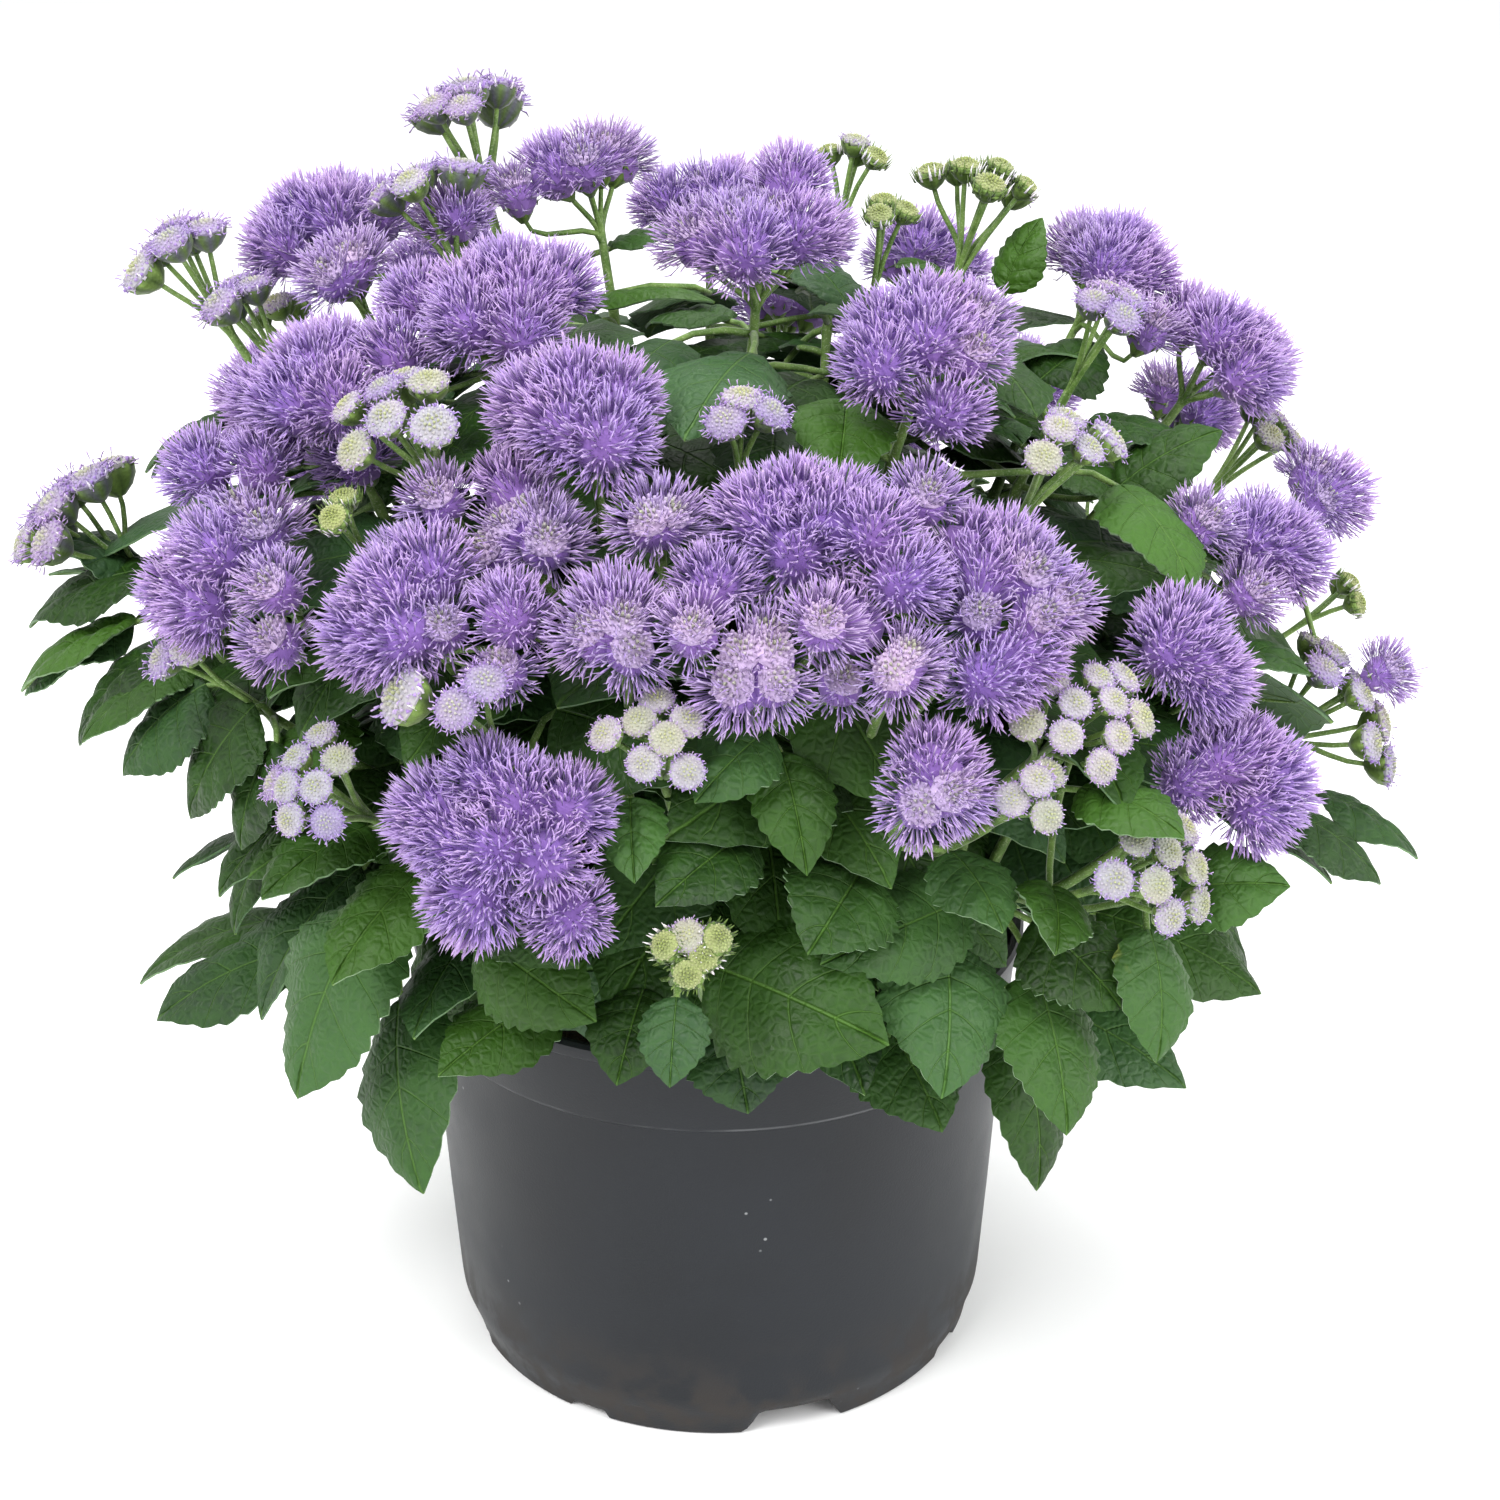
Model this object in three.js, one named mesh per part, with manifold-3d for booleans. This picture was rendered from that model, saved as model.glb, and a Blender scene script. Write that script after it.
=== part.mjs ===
// Flossflower (ageratum) in its nursery pot, in millimetres, +Z up, standing on z = 0.
// The front of the plant looks along -Y. Every flower cluster, bud cluster and large leaf has
// its own place in the tables below; stems, heads, florets and small leaves follow by rule.

import * as THREE from 'three';
import { ConvexGeometry } from 'three/addons/geometries/ConvexGeometry.js';
import { mergeVertices } from 'three/addons/utils/BufferGeometryUtils.js';
import Module from 'manifold-3d';

const wasm = await Module();
wasm.setup();

// ---------------------------------------------------------------- driving dimensions: pot

const RIM_RADIUS = 60;
const POT_HEIGHT = 88;
const STEP_HEIGHT = 72; // fine ledge below the upper band
const STEP_RADIUS = 58.4;
const SHOULDER_RADIUS = 54.6; // where the side turns in to the foot
const SHOULDER_HEIGHT = 9;
const FOOT_RADIUS = 52.4;
const WALL = 1.4;
const LEDGE = 0.5; // how far the side stands back just below the ledge
const LIP = 0.6; // how far the rolled rim stands out past the upper band
const LIP_HEIGHT = 3;
const FLOOR_HEIGHT = 6.4; // underside of the raised floor
const CORNER = 2; // slope between the inside wall and the floor
const POT_SIDES = 32;
const ARCH_COUNT = 4;
const ARCH_TURN = 16.5; // degrees from the front, towards +X
const ARCH_FOOT_WIDTH = 20;
const ARCH_TOP_WIDTH = 13;
const ARCH_HEIGHT = 5.6;
const NOTCH_WIDTH = 9;
const NOTCH_HEIGHT = 1.8;
const NOTCH_TURN = 45; // degrees from the arch beside it
const CUT_DEPTH = 14; // of an arch or notch, through the foot ring
const CUT_START = 8; // of it lies inside the foot's outer radius
const DRAIN_RADIUS = 4.5;
const DRAIN_RING = 34;
const DRAIN_COUNT = 6;

// ---------------------------------------------------------------- driving dimensions: plant

const SEAT = 0.3; // clearance between separate pieces
const STEM_HOLE = 0.7; // how much wider than its stem a hole in the soil is, all round
const SOIL_HEIGHT = 78;
const ROOT_DEPTH = 12; // how far a stem goes down into the soil
const ROOT_SPREAD = 0.36; // how far out a shoot is rooted, as a share of its clusters' middle
const FORK_SPREAD = 0.72; // and how far out it forks
const FORK_RISE = 0.55; // of the way from the soil up to the clusters
const STEM_BEND = [0.4, 0.75]; // the stem's upper bend: of the way out, and of the way up
const STRAIGHT_FOOT = 14; // a stem rises straight this far above the soil
const STEM_RADIUS = 1.5;
const STEM_SIDES = 4;
const STEM_KNOTS = [0.42, 0.7]; // where leaf stalks leave a stem, as shares of its length
const BRANCH_RADIUS = 1;
const BRANCH_SIDES = 3;
const KNOT_SPACING = 24; // along a branch
const OUTWARD = 1.4; // how strongly a branch first points out from its fork, against its own way
const LEAVE = 0.3; // of a branch's length, over which it turns away from the fork
const SWEEP = 0.45; // and over which it turns to its cluster's way
const COLLAR = 2.2; // length of the collar of a branch that turns sharply from its fork
const SHARP = 0.6; // a branch that leaves its fork less squarely than this has one
const KNOT_HALF = 1.3; // half the length of a knot
const PEDICEL_RADIUS = 0.62;
const PETIOLE_RADIUS = 0.75;
const HEART = new THREE.Vector3(0, 0, 108); // the point that the crown grows out from
const UP = new THREE.Vector3(0, 0, 1);
const UPWARD_PULL = 0.35; // how far heads turn up from straight out
const GOLDEN_ANGLE = Math.PI * (3 - Math.sqrt(5));

const OPEN_HEAD = 7.9; // radius of a fully open pompon
const BUD_HEAD = 4; // largest radius of a closed or half open head
const HEAD_GAP = 0.1; // half the least gap between closed heads
const BUD_ROOM = 1.6; // added to the spread of closed heads, which stand clear of each other
const HEAD_DOME = 0.4; // how domed a cluster is, as a share of its spread
const HEAD_LEAN = 0.55; // how far outer heads lean outwards
const BLOOM_STALK = 15; // from a bloom's heads down to where their pedicels would part
const BUD_STALK = 14;
const NECK_TAPER = 3.5; // length over which a branch widens into the neck of closed heads
const BLOOM_CORE = 5; // depth of a bloom's middle below its heads
const BLOOM_FOOT = 4.6; // from a bloom's middle to each corner of the small flat foot under it
const FOOT_ANGLE = 40; // degrees of those corners from straight down
const CORE_SHARE = 0.66; // floret roots, as a share of a pompon's radius
const TIP_SHARE = 1.1;
const SPIKES_FROM = -0.1; // florets stand on a bloom from just below its widest level

const RIDGE = 1.4; // thickness of a leaf at its midrib
const LEAF_ARCH = 0.06; // rise of a blade's middle, as a share of its length
const LEAF_DROOP = 0.08;
const LEAST_OUTWARD = 0.5; // how squarely a filling leaf's stalk must leave its knot
const LEAST_ONWARD = -0.4; // how far a blade may turn back against its stalk
const STRAIGHT_OUT = 0.55; // below this a leaf stalk bends just outside its knot
const ELBOW_OUT = 1.8; // how far outside
const THROAT = 1.25; // how much stouter a petiole is where it meets the blade
const MITRE = 0.6; // how far that end turns from the blade's way to the petiole's
const FIRST_TOOTH = 0.16; // along a blade

// ---------------------------------------------------------------- driving dimensions: layout

// Bloom: place of its middle, half spread across and along, number of pompons.
const bloom = (name, x, y, z, across, along, heads) => (
  { name, kind: 'bloom', at: new THREE.Vector3(x, y, z), across, along, heads });
// Cluster of closed or half open heads, in the same terms.
const buds = (name, x, y, z, across, along, heads) => (
  { name, kind: 'buds', at: new THREE.Vector3(x, y, z), across, along, heads });
// Large leaf: where the blade starts, where its tip is, and its width.
const leaf = (bx, by, bz, tx, ty, tz, width) => (
  { base: new THREE.Vector3(bx, by, bz), tip: new THREE.Vector3(tx, ty, tz), width });

const SHOOTS = [
  {
    name: 'crown_back',
    clusters: [
      bloom('crown_back', -72, 14, 219, 14, 10, 8),
      bloom('crown_middle', -64, -12, 217, 5, 5, 3),
      buds('crown_edge', -97, 2, 218, 9, 6, 6),
      buds('crown_side', -84, -8, 211, 9, 3, 4),
    ],
    leaves: [leaf(-86, -2, 188, -104, -6, 179, 13)],
  },
  {
    name: 'crown_front',
    clusters: [
      bloom('crown_left', -67, -37, 202, 10, 10, 7),
      bloom('crown_top', -35, -32, 215, 9, 12, 8),
      buds('crown_white', -49, -58, 204, 11, 8, 7),
    ],
    leaves: [],
  },
  {
    name: 'summit',
    clusters: [
      buds('summit', -46, 18, 241, 14, 6, 7),
      bloom('summit', -23, 20, 230, 10, 4, 5),
      buds('crown_peak', -50, -6, 231, 5, 7, 4),
    ],
    leaves: [leaf(-23, 12, 206, 0, 4, 207, 9), leaf(-20, 22, 214, -6, 30, 216, 12)],
  },
  {
    name: 'front_middle',
    clusters: [
      bloom('middle_high', -20, -63, 205, 9, 8, 5),
      bloom('middle_back', -28, -71, 187, 9, 4, 4),
      bloom('middle_small', -8, -76, 191, 2, 2, 2),
    ],
    leaves: [],
  },
  {
    name: 'front_left',
    clusters: [
      bloom('left_front', -46, -80, 178, 8, 11, 6),
      buds('left_low_white', -62, -87, 152, 7, 7, 8),
      buds('left_half', -37, -94, 169, 8, 3, 3),
    ],
    leaves: [
      leaf(-58, -60, 118, -70, -74, 88, 26), leaf(-46, -70, 130, -60, -89, 118, 17),
      leaf(-57, -64, 134, -72, -80, 128, 15), leaf(-62, -58, 163, -70, -72, 160, 9),
      leaf(-38, -74, 119, -18, -90, 112, 17),
    ],
  },
  {
    name: 'left_side',
    clusters: [
      bloom('left_outer', -79, -56, 180, 8, 13, 7),
      buds('left_under', -88, -60, 164, 4, 2, 2),
      buds('left_green', -59, -67, 190, 3, 2, 2),
    ],
    leaves: [leaf(-64, -52, 150, -70, -71, 138, 18)],
  },
  {
    name: 'left_far',
    clusters: [buds('left_far', -120, -6, 171, 10, 11, 8)],
    leaves: [
      leaf(-104, -20, 155, -125, -25, 143, 16), leaf(-104, 4, 152, -125, -2, 158, 15),
      leaf(-101, 6, 162, -102, 14, 171, 8), leaf(-92, -34, 152, -108, -48, 143, 17),
    ],
  },
  {
    name: 'front_low',
    clusters: [
      bloom('front_round', -31, -99, 149, 12, 12, 8),
      buds('front_white', -8, -98, 164, 7, 5, 7),
      bloom('front_small', -14, -89, 177, 5, 4, 4),
    ],
    leaves: [
      leaf(-27, -66, 104, -45, -84, 98, 15),
      leaf(6, -84, 142, -8, -101, 138, 14), leaf(-12, -88, 150, -11, -101, 142, 10),
    ],
  },
  {
    name: 'centre_right',
    clusters: [
      bloom('centre_high', 15, -76, 190, 8, 7, 5),
      bloom('centre_half', 8, -93, 174, 5, 5, 5),
      buds('centre_dark', 5, -62, 204, 3, 3, 3),
    ],
    leaves: [leaf(11, -84, 156, 15, -98, 142, 12), leaf(9, -85, 160, -2, -99, 154, 12)],
  },
  {
    name: 'right_front',
    clusters: [
      bloom('right_front', 46, -77, 180, 10, 11, 8),
      bloom('right_small', 29, -92, 173, 2, 2, 2),
      buds('right_near', 50, -95, 154, 3, 4, 4),
    ],
    leaves: [],
  },
  {
    name: 'top_middle',
    clusters: [
      bloom('top_middle', 8, -24, 225, 12, 8, 7),
      buds('top_green', 31, -5, 226, 5, 3, 4),
    ],
    leaves: [leaf(3, 0, 205, -13, 9, 202, 15), leaf(24, 5, 206, 16, 22, 211, 13)],
  },
  {
    name: 'top_right',
    clusters: [
      bloom('top_right', 36, -46, 213, 14, 8, 7),
      buds('top_right', 57, -55, 198, 9, 4, 5),
    ],
    leaves: [leaf(22, -44, 201, 20, -62, 192, 15), leaf(67, -44, 187, 78, -60, 174, 18)],
  },
  {
    name: 'back_peak',
    clusters: [
      buds('peak_green', 25, 22, 232, 5, 2, 4),
      buds('peak_mixed', 50, 18, 228, 9, 9, 8),
    ],
    leaves: [leaf(45, 5, 209, 32, -5, 216, 10), leaf(53, 10, 208, 60, 14, 221, 10)],
  },
  {
    name: 'right_top',
    clusters: [
      bloom('right_top', 73, 16, 213, 12, 6, 6),
      bloom('right_shoulder', 93, 4, 200, 10, 10, 6),
      buds('right_top', 70, -14, 211, 10, 3, 5),
    ],
    leaves: [leaf(70, -28, 182, 88, -24, 191, 14)],
  },
  {
    name: 'right_side',
    clusters: [
      bloom('right_side', 96, -34, 174, 10, 5, 5),
      bloom('right_behind', 110, -8, 176, 3, 5, 3),
      buds('right_edge', 104, 10, 183, 7, 5, 5),
      buds('right_far', 114, -29, 143, 9, 13, 9),
      buds('right_green', 118, -4, 155, 3, 2, 3),
    ],
    leaves: [leaf(108, -34, 127, 125, -42, 118, 13), leaf(83, -48, 160, 99, -56, 158, 12)],
  },
  {
    name: 'right_low',
    clusters: [
      bloom('right_tall', 76, -67, 167, 3, 8, 4),
      bloom('right_low', 88, -69, 145, 6, 8, 5),
      buds('right_white', 59, -85, 163, 10, 8, 10),
      buds('right_low_white', 70, -90, 139, 9, 8, 8),
    ],
    leaves: [
      leaf(71, -77, 122, 72, -89, 104, 15), leaf(75, -74, 127, 93, -80, 131, 15),
      leaf(58, -82, 149, 72, -96, 147, 13), leaf(53, -75, 113, 57, -92, 92, 18),
      leaf(54, -82, 132, 53, -98, 128, 12.5),
    ],
  },
  {
    name: 'right_near',
    clusters: [
      bloom('right_near', 34, -97, 156, 4, 5, 4),
    ],
    leaves: [
      leaf(38, -82, 138, 45, -98, 132, 13), leaf(38, -77, 120, 37, -95, 101, 20),
      leaf(24, -80, 134, 15, -96, 127, 18),
      leaf(42, -76, 127, 17, -90, 122, 17), leaf(52, -63, 96, 56, -76, 71, 15),
      leaf(29, -60, 96, 39, -75, 82, 19),
    ],
  },
  {
    name: 'front_young',
    clusters: [buds('front_young', -2, -106, 133, 3, 3, 5)],
    leaves: [
      leaf(0, -84, 119, 28, -99, 113, 24), leaf(-11, -79, 112, -15, -93, 102, 14),
      leaf(-5, -98, 121, -6, -105, 109, 10), leaf(3, -62, 96, 6, -72, 84, 17),
    ],
  },
  {
    name: 'back_left',
    clusters: [
      bloom('back_left_top', -54, 50, 207, 9, 8, 6),
      bloom('back_left_side', -90, 44, 182, 8, 8, 5),
      buds('back_left', -84, 24, 202, 7, 4, 4),
    ],
    leaves: [],
  },
  {
    name: 'back_top',
    clusters: [
      bloom('back_top', -2, 56, 217, 10, 7, 6),
      bloom('back_high', 14, 90, 189, 9, 8, 6),
      bloom('back_right_top', 43, 62, 205, 8, 8, 5),
    ],
    leaves: [],
  },
  {
    name: 'back_low',
    clusters: [
      bloom('back_middle', -42, 84, 186, 9, 8, 6),
      bloom('back_left_low', -82, 76, 158, 8, 8, 5),
      bloom('back_round', -26, 99, 158, 10, 10, 7),
      buds('back_low', -56, 96, 158, 7, 6, 5),
    ],
    leaves: [],
  },
  {
    name: 'back_right',
    clusters: [
      bloom('back_right', 64, 82, 175, 9, 8, 6),
      bloom('back_right_low', 34, 98, 156, 9, 9, 6),
      bloom('back_right_side', 96, 50, 176, 8, 8, 5),
      buds('back_right', 88, 78, 152, 8, 7, 6),
    ],
    leaves: [],
  },
];

// The rest of the foliage: leaves tried in evenly spread directions under the crown's surface.
const CROWN_MIDDLE = new THREE.Vector3(0, 0, 118);
const CROWN_REACH = new THREE.Vector3(118, 104, 108);
const FILL_WAYS = 440;
const FILL_TRIES = 6;
const FILL_TOP = 0.84; // heights of the first and last direction, as shares of the crown's reach
const FILL_BOTTOM = -0.34;
const FILL_DEPTH = 0.84; // how far out a leaf's middle lies, as a share of the crown's reach
const FILL_LENGTH = 26;
const FILL_WIDTH = 0.58; // as a share of the length
const FILL_YAW = 1.8; // radians that a leaf may turn from straight out, both ways together
const SHORTEST_PETIOLE = 8;
const LONGEST_PETIOLE = 44;
const KNOT_CLEARANCE = 4.5; // a leaf may come this near its own stalk by its knot
const BLADE_SPOT = 0.66; // radius of the spots that stand for a blade, as a share of its width
const SPOT_CLEAR = 1.1; // added all round such spots

const FOLIAGE = new THREE.MeshStandardMaterial({ color: 0x4c6f3a, roughness: 0.6, metalness: 0 });
const FLOSS = new THREE.MeshStandardMaterial({ color: 0x9a7fc0, roughness: 0.85, metalness: 0 });
const POT_PLASTIC = new THREE.MeshStandardMaterial({ color: 0x404247, roughness: 0.5, metalness: 0 });
const PEAT = new THREE.MeshStandardMaterial({ color: 0x2a211b, roughness: 1, metalness: 0 });

// ---------------------------------------------------------------- small helpers

// A repeatable number from 0 to 1 for the i-th thing and its k-th choice.
function chance(i, k) {
  const raw = Math.sin(i * 12.9898 + k * 78.233) * 43758.5453;
  return raw - Math.floor(raw);
}

function radians(degrees) {
  return degrees * Math.PI / 180;
}

function along(from, to, share) {
  return from.clone().lerp(to, share);
}

// A closed geometry as a solid that can be joined and cut.
function solid(geometry) {
  const bare = geometry.clone();
  bare.deleteAttribute('normal');
  bare.deleteAttribute('uv');
  const merged = mergeVertices(bare, 1e-4);
  return new wasm.Manifold(new wasm.Mesh({
    numProp: 3,
    vertProperties: new Float32Array(merged.attributes.position.array),
    triVerts: new Uint32Array(merged.index.array),
  }));
}

// The largest body of a solid; scraps that a cut left loose are dropped.
function mainBody(whole) {
  const bodies = whole.decompose();
  return bodies.reduce((best, body) => (body.volume() > best.volume() ? body : best));
}

function boxesMeet(a, b, margin) {
  const one = a.boundingBox();
  const two = b.boundingBox();
  return [0, 1, 2].every((k) => (
    one.min[k] < two.max[k] + margin && two.min[k] < one.max[k] + margin));
}

// Cut every cutter that comes near out of a solid.
function cutBy(whole, cutters) {
  return cutters.filter((cutter) => boxesMeet(whole, cutter, 0))
    .reduce((rest, cutter) => rest.subtract(cutter), whole);
}

function toMesh(name, whole, material) {
  const { vertProperties, triVerts, numProp } = whole.getMesh();
  const geometry = new THREE.BufferGeometry();
  const positions = new Float32Array(vertProperties.length / numProp * 3);
  for (let i = 0; i < positions.length / 3; i += 1) {
    positions.set(vertProperties.subarray(i * numProp, i * numProp + 3), i * 3);
  }
  geometry.setAttribute('position', new THREE.BufferAttribute(positions, 3));
  geometry.setIndex(new THREE.BufferAttribute(new Uint32Array(triVerts), 1));
  geometry.computeVertexNormals();
  const mesh = new THREE.Mesh(geometry, material.clone());
  mesh.name = name;
  return mesh;
}

// A round rod along a curve, with few sides.
function rod(curve, radius, sides, steps) {
  const section = new THREE.Shape(Array.from({ length: sides }, (_, k) => {
    const turn = 2 * Math.PI * k / sides;
    return new THREE.Vector2(radius * Math.cos(turn), radius * Math.sin(turn));
  }));
  return solid(new THREE.ExtrudeGeometry(section, {
    steps, bevelEnabled: false, extrudePath: curve,
  }));
}

// A ring of points about a place, square to an axis and starting towards a side.
function ring(at, axis, toward, radius, count) {
  const first = toward.clone().addScaledVector(axis, -toward.dot(axis)).normalize();
  const second = new THREE.Vector3().crossVectors(axis, first);
  return Array.from({ length: count }, (_, k) => {
    const turn = 2 * Math.PI * k / count;
    return at.clone().addScaledVector(first, radius * Math.cos(turn))
      .addScaledVector(second, radius * Math.sin(turn));
  });
}

// Triangles of the band between two rings, which may have different numbers of points.
function band(low, high) {
  const corners = [];
  const lowSteps = low.length > 1 ? low.length : 0;
  const highSteps = high.length > 1 ? high.length : 0;
  let i = 0;
  let j = 0;
  while (i < lowSteps || j < highSteps) {
    const lowNext = i < lowSteps ? (i + 1) / lowSteps : 2;
    const highNext = j < highSteps ? (j + 1) / highSteps : 2;
    const a = low[i % low.length];
    const b = high[j % high.length];
    if (lowNext <= highNext) {
      i += 1;
      corners.push(a, low[i % low.length], b);
    } else {
      j += 1;
      corners.push(a, high[j % high.length], b);
    }
  }
  return corners;
}

// A lathe body stood at a place with its axis along a direction.
function turned(profile, sides, at, axis) {
  const points = profile.map(([radius, height]) => new THREE.Vector2(radius, height));
  const geometry = new THREE.LatheGeometry(points, sides);
  const turn = new THREE.Quaternion().setFromUnitVectors(new THREE.Vector3(0, 1, 0), axis);
  geometry.applyQuaternion(turn);
  geometry.translate(at.x, at.y, at.z);
  return solid(geometry);
}

// ---------------------------------------------------------------- pot and soil

function potBody() {
  const inner = RIM_RADIUS - WALL;
  const outline = [
    [0, FLOOR_HEIGHT], [FOOT_RADIUS - 2 * WALL, FLOOR_HEIGHT], [FOOT_RADIUS - 2 * WALL, 0],
    [FOOT_RADIUS, 0], [SHOULDER_RADIUS, SHOULDER_HEIGHT],
    [STEP_RADIUS - LEDGE, STEP_HEIGHT - 0.8 * LEDGE], [STEP_RADIUS, STEP_HEIGHT],
    [RIM_RADIUS - LIP, POT_HEIGHT - LIP_HEIGHT - LEDGE], [RIM_RADIUS + LIP, POT_HEIGHT - LIP_HEIGHT],
    [RIM_RADIUS + LIP, POT_HEIGHT], [inner, POT_HEIGHT],
    [SHOULDER_RADIUS - WALL, SHOULDER_HEIGHT + CORNER],
    [SHOULDER_RADIUS - WALL - CORNER, FLOOR_HEIGHT + WALL], [0, FLOOR_HEIGHT + WALL],
  ];
  let pot = turned(outline, POT_SIDES, new THREE.Vector3(), UP);
  for (let k = 0; k < ARCH_COUNT; k += 1) {
    const turn = ARCH_TURN + k * 360 / ARCH_COUNT;
    pot = pot.subtract(footCut(ARCH_FOOT_WIDTH, ARCH_TOP_WIDTH, ARCH_HEIGHT, turn));
    pot = pot.subtract(footCut(NOTCH_WIDTH, NOTCH_WIDTH - 2, NOTCH_HEIGHT, turn + NOTCH_TURN));
  }
  for (let k = 0; k < DRAIN_COUNT; k += 1) {
    const turn = 2 * Math.PI * k / DRAIN_COUNT;
    const hole = new THREE.CylinderGeometry(DRAIN_RADIUS, DRAIN_RADIUS, 6, 8);
    hole.rotateX(Math.PI / 2);
    hole.translate(DRAIN_RING * Math.cos(turn), DRAIN_RING * Math.sin(turn), FLOOR_HEIGHT);
    pot = pot.subtract(solid(hole));
  }
  return pot;
}

// A trapezoid opening through the foot ring, at a turn from the front in degrees.
function footCut(footWidth, topWidth, height, turn) {
  const opening = new THREE.Shape([
    new THREE.Vector2(-footWidth / 2, -1), new THREE.Vector2(footWidth / 2, -1),
    new THREE.Vector2(topWidth / 2, height), new THREE.Vector2(-topWidth / 2, height),
  ]);
  const block = new THREE.ExtrudeGeometry(opening, { depth: CUT_DEPTH, bevelEnabled: false });
  block.rotateX(Math.PI / 2);
  block.translate(0, -FOOT_RADIUS + CUT_START, 0);
  block.rotateZ(radians(turn));
  return solid(block);
}

function soilBody(shoots) {
  const sideRadius = (height) => {
    const share = (height - SHOULDER_HEIGHT - CORNER) / (POT_HEIGHT - SHOULDER_HEIGHT - CORNER);
    return SHOULDER_RADIUS - WALL + share * (RIM_RADIUS - SHOULDER_RADIUS) - SEAT;
  };
  const floor = FLOOR_HEIGHT + WALL + SEAT;
  const outline = [
    [0, floor], [SHOULDER_RADIUS - WALL - CORNER - SEAT, floor],
    [sideRadius(SOIL_HEIGHT), SOIL_HEIGHT], [0, SOIL_HEIGHT],
  ];
  return cutBy(turned(outline, POT_SIDES, new THREE.Vector3(), UP), shoots.map(stemHole));
}

// The plain hole that a stem stands in, along the stem's first straight length.
function stemHole({ stalk }) {
  const foot = stalk.curve.getPoint(0);
  const bend = stalk.curve.getPoint(stalk.stops[1]);
  const ahead = bend.clone().sub(foot).normalize();
  const bottom = foot.clone().addScaledVector(ahead, -2 * SEAT);
  return rod(new THREE.LineCurve3(bottom, bend), STEM_RADIUS + STEM_HOLE, STEM_SIDES, 1);
}

// ---------------------------------------------------------------- stems

// The way a cluster faces, and its own across and rise directions.
function bearings(at) {
  const facing = at.clone().sub(HEART).normalize().addScaledVector(UP, UPWARD_PULL).normalize();
  const right = new THREE.Vector3().crossVectors(UP, facing).normalize();
  const rise = new THREE.Vector3().crossVectors(facing, right);
  return { facing, right, rise };
}

// Heads of a cluster on a sunflower spiral, each leaning out from the middle.
function headsOf(cluster, seed) {
  const { facing, right, rise } = bearings(cluster.at);
  const open = cluster.kind === 'bloom';
  const across = cluster.across + (open ? 0 : BUD_ROOM);
  const along = cluster.along + (open ? 0 : BUD_ROOM);
  const spread = (across + along) / 2;
  const heads = Array.from({ length: cluster.heads }, (_, k) => {
    const share = Math.sqrt((k + 0.5) / cluster.heads);
    const turn = k * GOLDEN_ANGLE + seed;
    const sideways = right.clone().multiplyScalar(across * share * Math.cos(turn))
      .addScaledVector(rise, along * share * Math.sin(turn));
    const depth = HEAD_DOME * spread * (share * share - 0.5) + 1.5 * (chance(seed, k) - 0.5);
    const axis = facing.clone().addScaledVector(sideways, HEAD_LEAN / spread).normalize();
    const size = (open ? OPEN_HEAD : BUD_HEAD) * (0.92 + 0.16 * chance(seed, k + 40));
    return { at: cluster.at.clone().add(sideways).addScaledVector(facing, -depth), axis, size };
  });
  return open ? heads : heads.map((head) => ({ ...head, size: Math.min(head.size, roomOf(head, heads)) }));
}

// Radius at which a head just stays clear of the others of its cluster.
function roomOf(head, heads) {
  const apart = heads.filter((other) => other !== head).map((other) => head.at.distanceTo(other.at));
  return 0.5 * Math.min(...apart) - HEAD_GAP;
}

// Where a cluster's pedicels part from its branch.
function neckOf(cluster) {
  const stalk = cluster.kind === 'bloom' ? BLOOM_STALK : BUD_STALK;
  return cluster.at.clone().addScaledVector(bearings(cluster.at).facing, -stalk);
}

// A stalk along a curve, with the shares of the curve where its rings stand: both ends, two close
// together for each knot, one more for a collar, and two at a fork's end.
function stalkOf({ curve, radius, sides, knots, toward, forked = false, collar = null }) {
  const half = KNOT_HALF / curve.getPoint(0).distanceTo(curve.getPoint(1));
  const start = collar === null ? [0] : [0, collar];
  const fork = forked ? [1 - 2 * half] : [];
  const stops = [...start, ...knots.flatMap((share) => [share - half, share + half]), ...fork, 1];
  const towards = stops.reduce((carried, share) => {
    const axis = curve.getTangent(share);
    const last = carried.length > 0 ? carried[carried.length - 1] : toward;
    return [...carried, last.clone().addScaledVector(axis, -last.dot(axis)).normalize()];
  }, []);
  return { curve, radius, sides, knots, stops, towards, firstKnot: start.length };
}

// Rings of a stalk from its start to its end.
function ringsOf(stalk, grow) {
  return stalk.stops.map((share, k) => ring(stalk.curve.getPoint(share),
    stalk.curve.getTangent(share), stalk.towards[k], stalk.radius + grow, stalk.sides));
}

// The lower triangle on one side of the wall above a ring, which a leaf or branch may grow from.
function sideFace(rings, level, side) {
  const low = rings[level];
  return [low[side], low[(side + 1) % low.length], rings[level + 1][side]];
}

function middleOf(face) {
  return new THREE.Triangle(...face).getMidpoint(new THREE.Vector3());
}

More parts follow.
